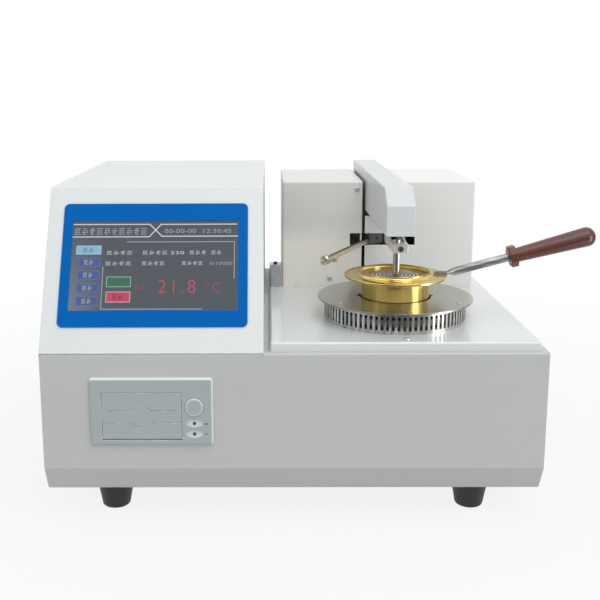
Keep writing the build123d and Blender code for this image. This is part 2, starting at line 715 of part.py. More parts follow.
# ---------------------------------------------------------------- cup
def make_cup():
    """Turned brass cup: thin wall, thick floor, wide flange under the bevelled mouth, fill mark groove."""
    mark = RIM_Z - FILL_MARK_DEPTH
    profile = make_face(
        Polyline(
            (0, 0, CUP_BOTTOM_Z),
            (CUP_BODY_R - 1, 0, CUP_BOTTOM_Z),
            (CUP_BODY_R, 0, CUP_BOTTOM_Z + 1),
            (CUP_BODY_R, 0, FLANGE_Z - FLANGE_T - FLANGE_FILLET),
            (CUP_BODY_R + FLANGE_FILLET, 0, FLANGE_Z - FLANGE_T),
            (FLANGE_R - 0.4, 0, FLANGE_Z - FLANGE_T),
            (FLANGE_R, 0, FLANGE_Z - FLANGE_T + 0.4),
            (FLANGE_R, 0, FLANGE_Z),
            (CUP_BODY_R + LIP_COVE_RUN, 0, FLANGE_Z),
            (CUP_BODY_R + LIP_COVE_RUN / 3, 0, FLANGE_Z + LIP_COVE_RISE / 3),
            (CUP_BODY_R, 0, FLANGE_Z + LIP_COVE_RISE),
            (CUP_BODY_R, 0, RIM_Z),
            (CUP_BORE_R + RIM_BEVEL, 0, RIM_Z),
            (CUP_BORE_R, 0, RIM_Z - RIM_BEVEL),
            (CUP_BORE_R, 0, mark + 0.4),
            (CUP_BORE_R + 0.4, 0, mark),
            (CUP_BORE_R, 0, mark - 0.4),
            (CUP_BORE_R, 0, CUP_FLOOR_Z + 1.5),
            (CUP_BORE_R - 1.5, 0, CUP_FLOOR_Z),
            (0, 0, CUP_FLOOR_Z),
            close=True,
        )
    )
    cup = revolve(profile, Axis.Z)
    cup = fillet(top_circle(cup, FLANGE_R), FLANGE_ROUND_R)
    cup = Pos(CUP_X, CUP_Y, 0) * fillet(top_circle(cup, CUP_BODY_R), LIP_ROUND_R)
    for distance in rivet_places():
        cup -= post(CUP_X + distance, CUP_Y, (FLANGE_Z - FLANGE_T - 1, FLANGE_Z + 1), RIVET_R)
    return cup


def top_circle(shape, radius):
    """Highest circular edge of that radius."""
    rings = [e for e in shape.edges().filter_by(GeomType.CIRCLE) if abs(e.radius - radius) < 0.01]
    return max(rings, key=lambda e: e.center().Z)


def rivet_places():
    """Distances of the handle's two rivets from the cup's axis."""
    return (TAB_START + RIVET_INSET, TAB_START + RIVET_INSET + RIVET_PITCH)


def handle_plane(distance):
    """Placement on the handle's sloping axis, its own Z along the handle."""
    angle = math.radians(HANDLE_RISE_DEG)
    along = (math.cos(angle), 0, math.sin(angle))
    start = (CUP_X + TAB_END, CUP_Y, FLANGE_Z + TAB_T / 2 - HANDLE_DROP)
    origin = tuple(s + distance * a for s, a in zip(start, along))
    return Plane(origin=origin, x_dir=(0, 1, 0), z_dir=along)


def make_shank():
    """Steel handle shank: flat riveted tab that swells into a round rod, with a tang for the grip."""
    tab = block(
        (CUP_X + TAB_START, CUP_X + TAB_END),
        (CUP_Y - TAB_W / 2, CUP_Y + TAB_W / 2),
        (FLANGE_Z, FLANGE_Z + TAB_T),
    )
    tab = fillet(tab.edges().filter_by(Axis.Z).sort_by(Axis.X)[:2], TAB_W / 2 - 0.6)
    for distance in rivet_places():
        tab -= post(CUP_X + distance, CUP_Y, (FLANGE_Z, FLANGE_Z + TAB_T), RIVET_R)
    end = (CUP_X + TAB_END - 0.5, CUP_Y, FLANGE_Z + TAB_T / 2)
    tab_end = Plane(origin=end, x_dir=(0, 1, 0), z_dir=(1, 0, 0))
    flare = loft([tab_end * Ellipse(TAB_W / 2, TAB_T / 2), handle_plane(SHANK_FLARE) * Circle(SHANK_R)])
    start = (Align.CENTER, Align.CENTER, Align.MIN)
    rod = handle_plane(SHANK_FLARE) * Cylinder(SHANK_R, SHANK_LENGTH - SHANK_FLARE, align=start)
    return tab + flare + rod + handle_plane(SHANK_LENGTH) * Cylinder(TANG_R, TANG_L, align=start)


def make_rivets():
    """Two flat-headed rivets through the handle tab and the cup's flange."""
    rivets = []
    for distance in rivet_places():
        x, under, over = CUP_X + distance, FLANGE_Z - FLANGE_T, FLANGE_Z + TAB_T
        rivet = post(x, CUP_Y, (under - RIVET_HEAD_H, over + RIVET_HEAD_H), RIVET_R)
        rivet += post(x, CUP_Y, (under - RIVET_HEAD_H, under), RIVET_R + 1)
        rivets.append(rivet + post(x, CUP_Y, (over, over + RIVET_HEAD_H), RIVET_R + 1))
    return Compound(children=rivets)


def make_grip():
    """Moulded grip: octagonal collar and a taper that swells to a rounded end."""
    collar = extrude(Plane.XY * RegularPolygon(COLLAR_R, 8, rotation=22.5), amount=COLLAR_T)
    collar = chamfer(collar.faces().sort_by(Axis.Z)[0].edges(), 1.0)
    body = make_face(
        Polyline((0, 0, COLLAR_T), (GRIP_ROOT_R, 0, COLLAR_T), (GRIP_TIP_R, 0, COLLAR_T + GRIP_LENGTH))
        + Line((GRIP_TIP_R, 0, COLLAR_T + GRIP_LENGTH), (0, 0, COLLAR_T + GRIP_LENGTH))
        + Line((0, 0, COLLAR_T + GRIP_LENGTH), (0, 0, COLLAR_T))
    )
    body = revolve(body, Axis.Z)
    end = body.edges().filter_by(GeomType.CIRCLE).sort_by(Axis.Z)[-1]
    grip = collar + fillet(end, GRIP_TIP_R - 1.2)
    grip -= Cylinder(TANG_R, TANG_L, align=(Align.CENTER, Align.CENTER, Align.MIN))
    return handle_plane(SHANK_LENGTH) * grip


# ---------------------------------------------------------------- head housing
def igniter_slot(y_span):
    """Opening in the front of both covers through which the igniter arm sweeps."""
    return block(
        (CUP_X - IGNITER_SLOT_LEFT, CUP_X + IGNITER_SLOT_RIGHT),
        y_span,
        (SLOT_Z - IGNITER_SLOT_H / 2, SLOT_Z + IGNITER_SLOT_H / 2),
    )


def head_shell(x_span, open_side):
    """Folded cover: front, top, back and one side; open below and towards the seam."""
    outer = block(x_span, (HEAD_FRONT, Y_BACK), (DECK_Z, HEAD_TOP))
    closed_x = x_span[0] if open_side > 0 else x_span[1]
    bends = [e for e in outer.faces().sort_by(Axis.Z)[-1].edges()]
    bends += [e for e in outer.edges().filter_by(Axis.Z)]
    width = abs(x_span[1] - x_span[0])
    keep = [e for e in bends if abs(e.center().X - closed_x) < 0.01 or e.length > width - 1]
    keep = [e for e in keep if not is_seam_edge(e, x_span, closed_x)]
    outer = fillet(keep, BEND_R)
    inner_x = [x_span[0] + SHEET, x_span[1] - SHEET]
    inner_x[1 if open_side > 0 else 0] += open_side * 2 * SHEET
    inner = block(tuple(inner_x), (HEAD_FRONT + SHEET, Y_BACK - SHEET), (DECK_Z, HEAD_TOP - SHEET))
    return outer - inner - igniter_slot((HEAD_FRONT - 1, HEAD_FRONT + 2 * SHEET))


def is_seam_edge(edge, x_span, closed_x):
    """Whether an edge lies wholly in the open side of a cover."""
    seam_x = x_span[0] if closed_x == x_span[1] else x_span[1]
    return abs(edge.center().X - seam_x) < 0.01


def make_head_left():
    """Left cover of the head housing, with a folded return at the seam, screwed on from the front."""
    cover = head_shell((HEAD_LEFT, SEAM_LEFT), 1)
    cover += block(
        (SEAM_LEFT - SHEET, SEAM_LEFT),
        (HEAD_FRONT + SHEET, HEAD_FRONT + SEAM_FLANGE),
        (DECK_Z + FRAME_T + SEAM_FLANGE_GAP, HEAD_TOP - SHEET),
    )
    for x, z in left_cover_screws():
        cover -= rod_y(x, (HEAD_FRONT - 1, HEAD_FRONT + 2 * SHEET), z, SCREW_R)
    return cover


def make_head_right():
    """Right cover, with the opening that the lift arm comes out of, over the top and down the back."""
    cover = head_shell((SEAM_RIGHT, HEAD_RIGHT), -1)
    arm_span = (SEAM_RIGHT - 1, ARM_RIGHT + ARM_SIDE_GAP)
    cover -= block(arm_span, (HEAD_FRONT - 1, PIVOT_Y), (DECK_Z + ARM_CUT_UP, HEAD_TOP + 1))
    cover -= block(arm_span, (PIVOT_Y - 1, Y_BACK + 1), (DECK_Z + ARM_BACK_CUT_UP, HEAD_TOP + 1))
    for y, z in right_cover_screws():
        cover -= rod_x((HEAD_RIGHT - 2 * SHEET, HEAD_RIGHT + 1), y, z, SCREW_R)
    return cover


def left_cover_screws():
    """Screws in the front of the left cover, as (x, z)."""
    return ((SEAM_LEFT - 6.1, HEAD_TOP - 9.0), (SEAM_LEFT - 36.1, DECK_Z + 9.7))


def right_cover_screws():
    """Screws in the side of the right cover, as (y, z)."""
    return ((HEAD_FRONT + 30, DECK_Z + 12), (Y_BACK - 30, DECK_Z + 12))


def make_head_frame():
    """Inner frame: base plate, screw tabs, web and seam backing, uprights for the shaft, motor shelf."""
    x_span = (HEAD_LEFT + SHEET + 1, HEAD_RIGHT - SHEET)
    y_span = (HEAD_FRONT + SHEET, Y_BACK - SHEET - 1)
    frame = block(x_span, y_span, (DECK_Z, DECK_Z + FRAME_T))
    frame -= cable_hole((DECK_Z, DECK_Z + FRAME_T))
    low, high = left_cover_screws()[1], left_cover_screws()[0]
    tab_y = (HEAD_FRONT + SHEET, HEAD_FRONT + SHEET + FRAME_T)
    frame += block((low[0] - 8, low[0] + 8), tab_y, (DECK_Z, HEAD_TOP - SHEET))
    tab_end = SEAM_LEFT - SHEET - SEAM_FLANGE_GAP
    frame += block((low[0] + 8, tab_end), tab_y, (high[1] - 8, HEAD_TOP - SHEET))
    rail_x = (HEAD_RIGHT - SHEET - FRAME_T, HEAD_RIGHT - SHEET)
    frame += block(rail_x, (HEAD_FRONT + 20, Y_BACK - 20), (DECK_Z, DECK_Z + 24))
    back_y = (y_span[1] - FRAME_T, y_span[1])
    seam_x = (SEAM_LEFT - SEAM_BACKING, SEAM_RIGHT - 1)
    frame += block(seam_x, back_y, (DECK_Z, HEAD_TOP - SHEET))
    below_tail = (DECK_Z, DECK_Z + ARM_BACK_CUT_UP - 2)
    frame += block((seam_x[0], SEAM_RIGHT + SEAM_BACKING), back_y, below_tail)
    web_y = (PIVOT_Y - 48, PIVOT_Y - 48 + FRAME_T)
    web_top = DECK_Z + ARM_BOTTOM_UP - WEB_UNDER_ARM
    frame += block((UPRIGHT_1 - WEB_W, UPRIGHT_1), web_y, (DECK_Z, web_top))
    for x in (UPRIGHT_1, UPRIGHT_2):
        frame += block((x, x + UPRIGHT_T), (PIVOT_Y - 48, PIVOT_Y + 20), (DECK_Z, PIVOT_Z + 12))
        frame -= rod_x((x - 1, x + UPRIGHT_T + 1), PIVOT_Y, PIVOT_Z, PIVOT_SHAFT_R + BUSH_WALL)
    pinion_y, pinion_z = pinion_place()
    frame -= rod_x((UPRIGHT_2 - 1, UPRIGHT_2 + UPRIGHT_T + 1), pinion_y, pinion_z, PINION_SHAFT_R + 2)
    shelf_z = HUB_Z - 6
    leg_y = IGNITER_Y + IGNITER_MOTOR_W / 2 + 2
    frame += block((CUP_X - 14, CUP_X + 14), (leg_y, leg_y + FRAME_T), (DECK_Z, shelf_z + FRAME_T))
    frame += block(
        (CUP_X - 14, CUP_X + 14), (IGNITER_Y - 13, leg_y + FRAME_T), (shelf_z, shelf_z + FRAME_T)
    )
    frame -= post(CUP_X, IGNITER_Y, (shelf_z - 1, shelf_z + FRAME_T + 1), IGNITER_SHAFT_R + 2)
    for x, z in left_cover_screws():
        frame -= rod_y(x, (tab_y[0] - 1, tab_y[1] + 1), z, SCREW_R)
    for y, z in right_cover_screws():
        frame -= rod_x((HEAD_RIGHT - SHEET - FRAME_T - 1, HEAD_RIGHT), y, z, SCREW_R)
    return frame


# ---------------------------------------------------------------- lift drive
def pinion_place():
    """Centre of the pinion as (y, z)."""
    distance = GEAR_MODULE * (GEAR_TEETH + PINION_TEETH) / 2 + GEAR_BACKLASH
    angle = math.radians(PINION_BEARING_DEG)
    return PIVOT_Y + distance * math.cos(angle), PIVOT_Z + distance * math.sin(angle)


def tooth_half_angle(teeth, radius):
    """Half the angle a tooth fills at a radius, from the involute of a 20 degree rack."""
    pitch_r = GEAR_MODULE * teeth / 2
    base_r = pitch_r * math.cos(math.radians(20))
    at_pitch = math.pi / (2 * teeth) - GEAR_BACKLASH / (4 * pitch_r)

    def involute(r):
        pressure = math.acos(min(1.0, base_r / r))
        return math.tan(pressure) - pressure

    return at_pitch + involute(pitch_r) - involute(max(radius, base_r))


def gear_outline(teeth, first_deg, last_deg, centre_deg):
    """Points of involute teeth from one bearing to another, a tooth centred on centre_deg."""
    pitch_r = GEAR_MODULE * teeth / 2
    radii = [pitch_r + GEAR_MODULE * k for k in (-1.25, -0.6, 0.0, 0.5, 0.95)]
    step = 360 / teeth
    first = math.ceil((first_deg - centre_deg) / step - 1e-6)
    last = math.floor((last_deg - centre_deg) / step - 1e-6)
    points = []
    for k in range(first, last + 1):
        middle = math.radians(centre_deg + k * step)
        for r in radii:
            points.append((r, middle - tooth_half_angle(teeth, r)))
        for r in radii[::-1]:
            points.append((r, middle + tooth_half_angle(teeth, r)))
    return [(r * math.cos(a), r * math.sin(a)) for r, a in points]


def make_lift_gear():
    """Toothed sector clamped on the pivot shaft."""
    half_step = 180 / GEAR_TEETH
    teeth = gear_outline(
        GEAR_TEETH,
        PINION_BEARING_DEG - 15,
        PINION_BEARING_DEG + ARM_LIFT_DEG + 15,
        PINION_BEARING_DEG + half_step,
    )
    outline = [(PIVOT_Y + y, PIVOT_Z + z) for y, z in [(0, 0)] + teeth]
    sector = prism_x(outline, (GEAR_X, GEAR_X + GEAR_W))
    sector += rod_x((GEAR_X, GEAR_X + GEAR_W + 3), PIVOT_Y, PIVOT_Z, PIVOT_SHAFT_R + 5)
    return sector - rod_x((GEAR_X - 1, GEAR_X + GEAR_W + 4), PIVOT_Y, PIVOT_Z, PIVOT_SHAFT_R)



def make_pinion():
    """Pinion cut on the lift motor's output shaft."""
    y0, z0 = pinion_place()
    towards_gear = PINION_BEARING_DEG - 180
    teeth = gear_outline(PINION_TEETH, towards_gear, towards_gear + 360, towards_gear)
    pinion = prism_x([(y0 + y, z0 + z) for y, z in teeth], (GEAR_X - 0.5, GEAR_X + GEAR_W + 0.5))
    return pinion + rod_x((GEAR_X - 1.5, UPRIGHT_2 + UPRIGHT_T + 14), y0, z0, PINION_SHAFT_R)


def make_lift_motor():
    """Gear motor screwed to the outer upright, its shaft running in the gearbox bore."""
    y0, z0 = pinion_place()
    face = UPRIGHT_2 + UPRIGHT_T
    gearbox = rod_x((face, face + 0.45 * LIFT_MOTOR_L), y0, z0, LIFT_MOTOR_R)
    motor = rod_x((face + 0.45 * LIFT_MOTOR_L, face + LIFT_MOTOR_L), y0, z0, LIFT_MOTOR_R - 2)
    body = gearbox + motor
    return body - rod_x((face - 1, face + 15), y0, z0, PINION_SHAFT_R + RUN_CLEAR)


def make_bushes():
    """Two flanged bronze bushes for the pivot shaft."""
    bushes = []
    for x in (UPRIGHT_1, UPRIGHT_2):
        bush = rod_x((x - BUSH_FLANGE_T, x + UPRIGHT_T), PIVOT_Y, PIVOT_Z, PIVOT_SHAFT_R + BUSH_WALL)
        bush += rod_x((x - BUSH_FLANGE_T, x), PIVOT_Y, PIVOT_Z, PIVOT_SHAFT_R + BUSH_WALL + 1.5)
        bush -= rod_x((x - 2, x + UPRIGHT_T + 1), PIVOT_Y, PIVOT_Z, PIVOT_SHAFT_R + RUN_CLEAR)
        bushes.append(bush)
    return Compound(children=bushes)


def make_pivot_shaft():
    """Steel shaft that carries the arm and the gear sector."""
    return rod_x((ARM_LEFT + ARM_WALL + 0.5, UPRIGHT_2 + UPRIGHT_T + 2), PIVOT_Y, PIVOT_Z, PIVOT_SHAFT_R)


# ---------------------------------------------------------------- lift arm
def make_arm_cover():
    """White cover of the lift arm: an upturned channel with a sloping nose."""
    bottom, nose, top = DECK_Z + ARM_BOTTOM_UP, DECK_Z + ARM_NOSE_UP, DECK_Z + ARM_TOP_UP
    rear = Y_BACK - 1.0
    outline = [
        (-ARM_FRONT, bottom),
        (-ARM_FRONT, nose),
        (-ARM_FRONT + ARM_NOSE_RUN, top),
        (rear, top),
        (rear, bottom),
    ]
    outer = prism_x(outline, (ARM_LEFT, ARM_RIGHT))
    top_rim = [e for e in outer.edges() if e.center().Z > bottom + 1]
    outer = fillet(top_rim, 1.5)
    inner_path = inset(outline, ARM_WALL)
    inner_path = [(inner_path[0][0], bottom - 5)] + inner_path[1:-1] + [(inner_path[-1][0], bottom - 5)]
    cover = outer - prism_x(inner_path, (ARM_LEFT + ARM_WALL, ARM_RIGHT - ARM_WALL))
    return cover - rod_x((ARM_RIGHT - 2 * ARM_WALL, ARM_RIGHT + 1), PIVOT_Y, PIVOT_Z, PIVOT_SHAFT_R)


def arm_bar_top():
    """Top of the bar inside the arm."""
    return PIVOT_Z + ARM_BAR_H / 2 + 2


def make_arm_frame():
    """Bar inside the arm with its hub on the shaft, and two cross pieces that hold the cover."""
    top = arm_bar_top()
    bar_x = (ARM_X - 1, ARM_X - 1 + ARM_BAR_W)
    frame = block(bar_x, (PROBE_Y - 14, PIVOT_Y), (top - ARM_BAR_H, top))
    frame += rod_x((ARM_LEFT + ARM_WALL + 0.5, ARM_RIGHT - ARM_WALL - 0.5), PIVOT_Y, PIVOT_Z, ARM_HUB_R)
    for y in (PROBE_Y - 14, PIVOT_Y - 60):
        z_span = (top - ARM_BAR_H + 2, top - 2)
        frame += block((ARM_LEFT + ARM_WALL, ARM_RIGHT - ARM_WALL), (y, y + 6), z_span)
    return frame - rod_x((ARM_LEFT, ARM_RIGHT), PIVOT_Y, PIVOT_Z, PIVOT_SHAFT_R)


def make_yoke():
    """Nickel-plated channel under the arm's nose that ends in the block which clamps the probe."""
    middle = PROBE_X + YOKE_RIGHT_OF_PROBE
    x_span = (middle - YOKE_W / 2, middle + YOKE_W / 2)
    bottom = DECK_Z + YOKE_UP
    bar_bottom = arm_bar_top() - ARM_BAR_H
    front = PROBE_Y - YOKE_BLOCK_D / 2
    rear = front + YOKE_L
    yoke = block(x_span, (front, rear), (bottom, bottom + YOKE_T))
    side = [
        (front, bottom),
        (front, bottom + YOKE_BLOCK_H),
        (front + YOKE_BLOCK_D, bottom + YOKE_BLOCK_H),
        (rear - 16, bottom + YOKE_BLOCK_H + 6),
        (rear - 8, bar_bottom),
        (rear, bar_bottom),
        (rear, bottom),
    ]
    for x in (x_span[0], x_span[1] - YOKE_T):
        yoke += prism_x(side, (x, x + YOKE_T))
    yoke += block(x_span, (front, front + YOKE_BLOCK_D), (bottom, bottom + YOKE_BLOCK_H))
    yoke += block(x_span, (rear - 8, rear), (bar_bottom - YOKE_T, bar_bottom))
    yoke = fillet(yoke.edges().filter_by(Axis.Z).sort_by(Axis.Y)[:2], 1.0)
    yoke -= post(PROBE_X, PROBE_Y, (bottom - 1, bottom + YOKE_BLOCK_H + 1), PROBE_R)
    screw_y = (front - 1, front + CLAMP_SCREW_L)
    return yoke - rod_y(clamp_x(), screw_y, bottom + YOKE_BLOCK_H / 2, CLAMP_SCREW_R)


def clamp_x():
    """Set screw that presses on the probe from the front of the block."""
    return PROBE_X + CLAMP_RIGHT_OF_PROBE


def make_clamp_screw():
    """Socket set screw with a head, in the front of the yoke's block."""
    front = PROBE_Y - YOKE_BLOCK_D / 2
    z = DECK_Z + YOKE_UP + YOKE_BLOCK_H / 2
    screw = rod_y(clamp_x(), (front - CLAMP_HEAD_H, front), z, CLAMP_HEAD_R)
    screw += rod_y(clamp_x(), (front, front + CLAMP_SCREW_L), z, CLAMP_SCREW_R)
    socket = extrude(Plane.XZ * RegularPolygon(1.5, 6), amount=CLAMP_HEAD_H)
    return screw - Pos(clamp_x(), front - 0.8, z) * socket


def make_probe():
    """Sheathed temperature probe with a rounded tip, standing in the cup."""
    tip = CUP_FLOOR_Z + PROBE_TIP_GAP
    top = DECK_Z + YOKE_UP + YOKE_BLOCK_H + 4
    probe = post(PROBE_X, PROBE_Y, (tip, top), PROBE_R)
    end = probe.edges().filter_by(GeomType.CIRCLE).sort_by(Axis.Z)[0]
    return fillet(end, PROBE_R - 0.4)


# ---------------------------------------------------------------- igniter
def tube_root():
    """Point where the igniter tube leaves the hub."""
    return (CUP_X - TUBE_ROOT_LEFT, IGNITER_Y - TUBE_ROOT_AHEAD, DECK_Z + TUBE_ROOT_UP)


def tip_place():
    """Point on the tube's axis that sweeps through the cup's axis, when parked."""
    angle = math.radians(PARK_DEG)
    x, y = CUP_X - IGNITER_R * math.sin(angle), IGNITER_Y - IGNITER_R * math.cos(angle)
    return (x, y, DECK_Z + TUBE_TIP_UP)


def tube_length():
    """Root of the tube to that point."""
    return (Vector(*tip_place()) - Vector(*tube_root())).length


def tube_plane(distance):
    """Placement on the tube's axis, its own Z towards the tip and its own X upwards."""
    root = Vector(*tube_root())
    along = (Vector(*tip_place()) - root).normalized()
    return Plane(origin=root + along * distance, x_dir=(0, 0, 1), z_dir=along)


def along_tube(start, length, radius):
    """A cylinder on the tube's axis."""
    return tube_plane(start) * Cylinder(radius, length, align=(Align.CENTER, Align.CENTER, Align.MIN))


def tip_start():
    """Where the head begins, from the tube's root."""
    return tube_length() + TIP_BEYOND - TIP_L


def make_igniter_hub():
    """Rounded lever on the igniter motor's shaft that holds the tube with two set screws."""
    big = Pos(CUP_X, IGNITER_Y, HUB_Z) * Circle(HUB_R)
    ahead = tube_plane(-HUB_NOSE_R).origin
    nose = Pos(ahead.X, ahead.Y, HUB_Z) * Circle(HUB_NOSE_R)
    hub = extrude(make_hull(big.edges() + nose.edges()), amount=HUB_H, dir=(0, 0, 1))
    hub -= along_tube(-TUBE_IN_HUB, TUBE_IN_HUB + 20, IGNITER_TUBE_R)
    for left in HUB_SCREWS_LEFT:
        hub -= rod_y(CUP_X - left, (IGNITER_Y - 3 * HUB_R, IGNITER_Y - HUB_R + 2), HUB_Z + HUB_H / 2, 1.0)
    return hub - post(CUP_X, IGNITER_Y, (HUB_Z - 1, HUB_Z + HUB_H - 1), IGNITER_SHAFT_R)


def make_igniter_shaft():
    """Output shaft of the igniter motor, fixed in the hub."""
    return post(CUP_X, IGNITER_Y, (HUB_Z - 22, HUB_Z + HUB_H - 1), IGNITER_SHAFT_R)


def make_igniter_tube():
    """Thin gas tube from the hub to its head."""
    length = TUBE_IN_HUB + tip_start()
    return along_tube(-TUBE_IN_HUB, length, IGNITER_TUBE_R) - along_tube(-TUBE_IN_HUB, length, IGNITER_BORE_R)


def make_tube_nut():
    """Brass nut under the tube, behind the head."""
    middle = tube_plane(tube_length() - NUT_BEHIND).origin
    nut = post(middle.X, middle.Y, (middle.Z - NUT_DROP, middle.Z), NUT_R)
    nut = chamfer(nut.edges().filter_by(GeomType.CIRCLE).sort_by(Axis.Z)[0], 0.8)
    return nut - along_tube(0, tube_length(), IGNITER_TUBE_R)


def make_igniter_head():
    """Head on the tube's end: a round body with the flame bore, split into prongs for the glow wire."""
    start = tip_start()
    head = along_tube(start, TIP_L, TIP_R)
    head = chamfer(head.edges().filter_by(GeomType.CIRCLE).sort_by(Axis.Y)[0], 1.2)
    end = tube_plane(start + TIP_L)
    head -= end * Box(TIP_SLOT, 4 * TIP_R, 2 * (TIP_L - 2.5))
    head -= end * Box(4 * TIP_R, TIP_SLOT, 3.0)
    return head - along_tube(start, TIP_L, FLAME_BORE_R)


def make_igniter_motor():
    """Square stepping motor under its shelf, its shaft running in the body's bore."""
    top = HUB_Z - 6
    half = IGNITER_MOTOR_W / 2
    x_span, y_span = (CUP_X - half, CUP_X + half), (IGNITER_Y - half, IGNITER_Y + half)
    body = block(x_span, y_span, (top - IGNITER_MOTOR_L, top))
    body = chamfer(body.edges().filter_by(Axis.Z), 2.5)
    return body - post(CUP_X, IGNITER_Y, (HUB_Z - 23, top + 1), IGNITER_SHAFT_R + RUN_CLEAR)


# ---------------------------------------------------------------- gas valve
def valve_middle():
    """Centre of the valve block as (x, y)."""
    return DECK_LEFT + 0.5 + VALVE_W / 2, HEAD_FRONT + VALVE_D / 2


def make_valve_block():
    """Metal block beside the housing, with the flame needle valve's stem bore on top."""
    x, y = valve_middle()
    half = VALVE_W / 2
    body = block((x - half, x + half), (y - VALVE_D / 2, y + VALVE_D / 2), (DECK_Z, DECK_Z + VALVE_H))
    body = fillet(body.edges().filter_by(Axis.Z), 1.0)
    return body - post(x, y, (DECK_Z + VALVE_H - 8, DECK_Z + VALVE_H + 1), VALVE_STEM_R + RUN_CLEAR)


def make_valve_knob():
    """Small knurled knob on the needle's stem."""
    x, y = valve_middle()
    top = DECK_Z + VALVE_H + 0.3
    knob = post(x, y, (top, top + VALVE_KNOB_H), VALVE_KNOB_R)
    for i in range(VALVE_FLUTES):
        angle = math.radians(i * 360 / VALVE_FLUTES)
        groove = (x + VALVE_KNOB_R * math.cos(angle), y + VALVE_KNOB_R * math.sin(angle))
        knob -= post(*groove, (top, top + VALVE_KNOB_H), VALVE_FLUTE_R)
    return knob + post(x, y, (DECK_Z + VALVE_H - 7, top), VALVE_STEM_R)


# ---------------------------------------------------------------- printer
def led_places():
    """Centres of the two lamps as (x, z)."""
    return [(BUTTON_X, PRINTER_BOTTOM + up) for up in LED_UP]


def make_printer_case():
    """Panel printer's case: face plate in front of the panel, box behind it, door opening, wells."""
    inset_x = (PRINTER_X + FLANGE_LIP, PRINTER_X + PRINTER_W - FLANGE_LIP)
    inset_z = (PRINTER_BOTTOM + FLANGE_LIP, PRINTER_BOTTOM + PRINTER_H - FLANGE_LIP)
    face = block(
        (PRINTER_X, PRINTER_X + PRINTER_W),
        (PRINTER_FRONT, Y_FRONT),
        (PRINTER_BOTTOM, PRINTER_BOTTOM + PRINTER_H),
    )
    face = fillet(face.edges().filter_by(Axis.Y), 3.0)
    face = fillet(face.faces().sort_by(Axis.Y)[0].edges(), 2.4)
    case = face + block(inset_x, (Y_FRONT, Y_FRONT + PRINTER_D), inset_z)
    bay_y = (PRINTER_FRONT, Y_FRONT + PRINTER_D - PRINTER_WALL)
    case -= block(BAY_X, bay_y, (DOOR_Z[0] + 1.0, DOOR_Z[1] - 1.0))
    gap = DOOR_GAP
    case -= block(
        (DOOR_X[0] - gap, DOOR_X[1] + gap),
        (PRINTER_FRONT - 1, PRINTER_FRONT + DOOR_T + gap),
        (DOOR_Z[0] - DOOR_LOWER_GAP, DOOR_Z[1] + gap),
    )
    case -= rod_y(BUTTON_X, (PRINTER_FRONT - 1, PRINTER_FRONT + 12), BUTTON_Z, BUTTON_R + BUTTON_GAP)
    well_r = (LED_WELL_W**2 + LED_WELL_H**2) / (4 * LED_WELL_H)
    well_y = (PRINTER_FRONT - 1, PRINTER_FRONT + LED_WELL_T)
    for x, z in led_places():
        case -= rod_y(x, well_y, z + well_r - LED_WELL_H / 2, well_r) & rod_y(
            x, well_y, z - well_r + LED_WELL_H / 2, well_r
        )
        case -= rod_y(x, (PRINTER_FRONT - 1, PRINTER_FRONT + 6), z, LED_R)
    case -= rod_x(
        (DOOR_X[0] - gap - DOOR_PIN_L, DOOR_X[1] + gap + DOOR_PIN_L), PIN_Y, PIN_Z, DOOR_PIN_R + RUN_CLEAR
    )
    return case - rod_x(
        (BAY_X[0] - PRINTER_WALL, BAY_X[1] + PRINTER_WALL), PLATEN_Y, PLATEN_Z, PLATEN_SHAFT_R + RUN_CLEAR
    )


def make_printer_door():
    """Paper door, hinged at its lower edge, with two grooves that swell round a thumb disc."""
    door = block(DOOR_X, (PRINTER_FRONT, PRINTER_FRONT + DOOR_T), DOOR_Z)
    lower_back = [e for e in door.edges().filter_by(Axis.X) if e.center().Z < DOOR_Z[0] + 0.1]
    door = fillet(lower_back, DOOR_T / 2 - 0.05)
    middle_x, middle_z = sum(DOOR_X) / 2, DOOR_Z[0] + DOOR_BAND_UP
    cut_y = (PRINTER_FRONT - 1, PRINTER_FRONT + DOOR_GROOVE)
    deep_y = (PRINTER_FRONT - 2, PRINTER_FRONT + DOOR_T)
    half = DOOR_GROOVE / 2
    ring = rod_y(middle_x, cut_y, middle_z, DOOR_DISC_R + half)
    ring -= rod_y(middle_x, deep_y, middle_z, DOOR_DISC_R - half)
    disc = rod_y(middle_x, deep_y, middle_z, DOOR_DISC_R)
    for side in (-1, 1):
        z = middle_z + side * DOOR_BAND_H / 2
        door -= block(DOOR_X, cut_y, (z - half, z + half)) - disc
        beyond = (z, z + DOOR_DISC_R) if side > 0 else (z - DOOR_DISC_R, z)
        door -= ring & block(DOOR_X, deep_y, beyond)
    for x0, x1 in ((DOOR_X[0] - DOOR_PIN_L, DOOR_X[0]), (DOOR_X[1], DOOR_X[1] + DOOR_PIN_L)):
        door += rod_x((x0, x1), PIN_Y, PIN_Z, DOOR_PIN_R)
    return door


def make_feed_button():
    """Round paper-feed button that travels into its well."""
    front = PRINTER_FRONT - BUTTON_PROUD
    button = rod_y(BUTTON_X, (front, front + BUTTON_L), BUTTON_Z, BUTTON_R)
    rim = button.edges().filter_by(GeomType.CIRCLE).sort_by(Axis.Y)[0]
    return fillet(rim, 0.8)


def make_lamps():
    """Two small status lamps in their wells."""
    lamps = []
    for x, z in led_places():
        lamp = rod_y(x, (PRINTER_FRONT + 0.2, PRINTER_FRONT + 6), z, LED_R)
        lamps.append(fillet(lamp.edges().filter_by(GeomType.CIRCLE).sort_by(Axis.Y)[0], 0.8))
    return Compound(children=lamps)


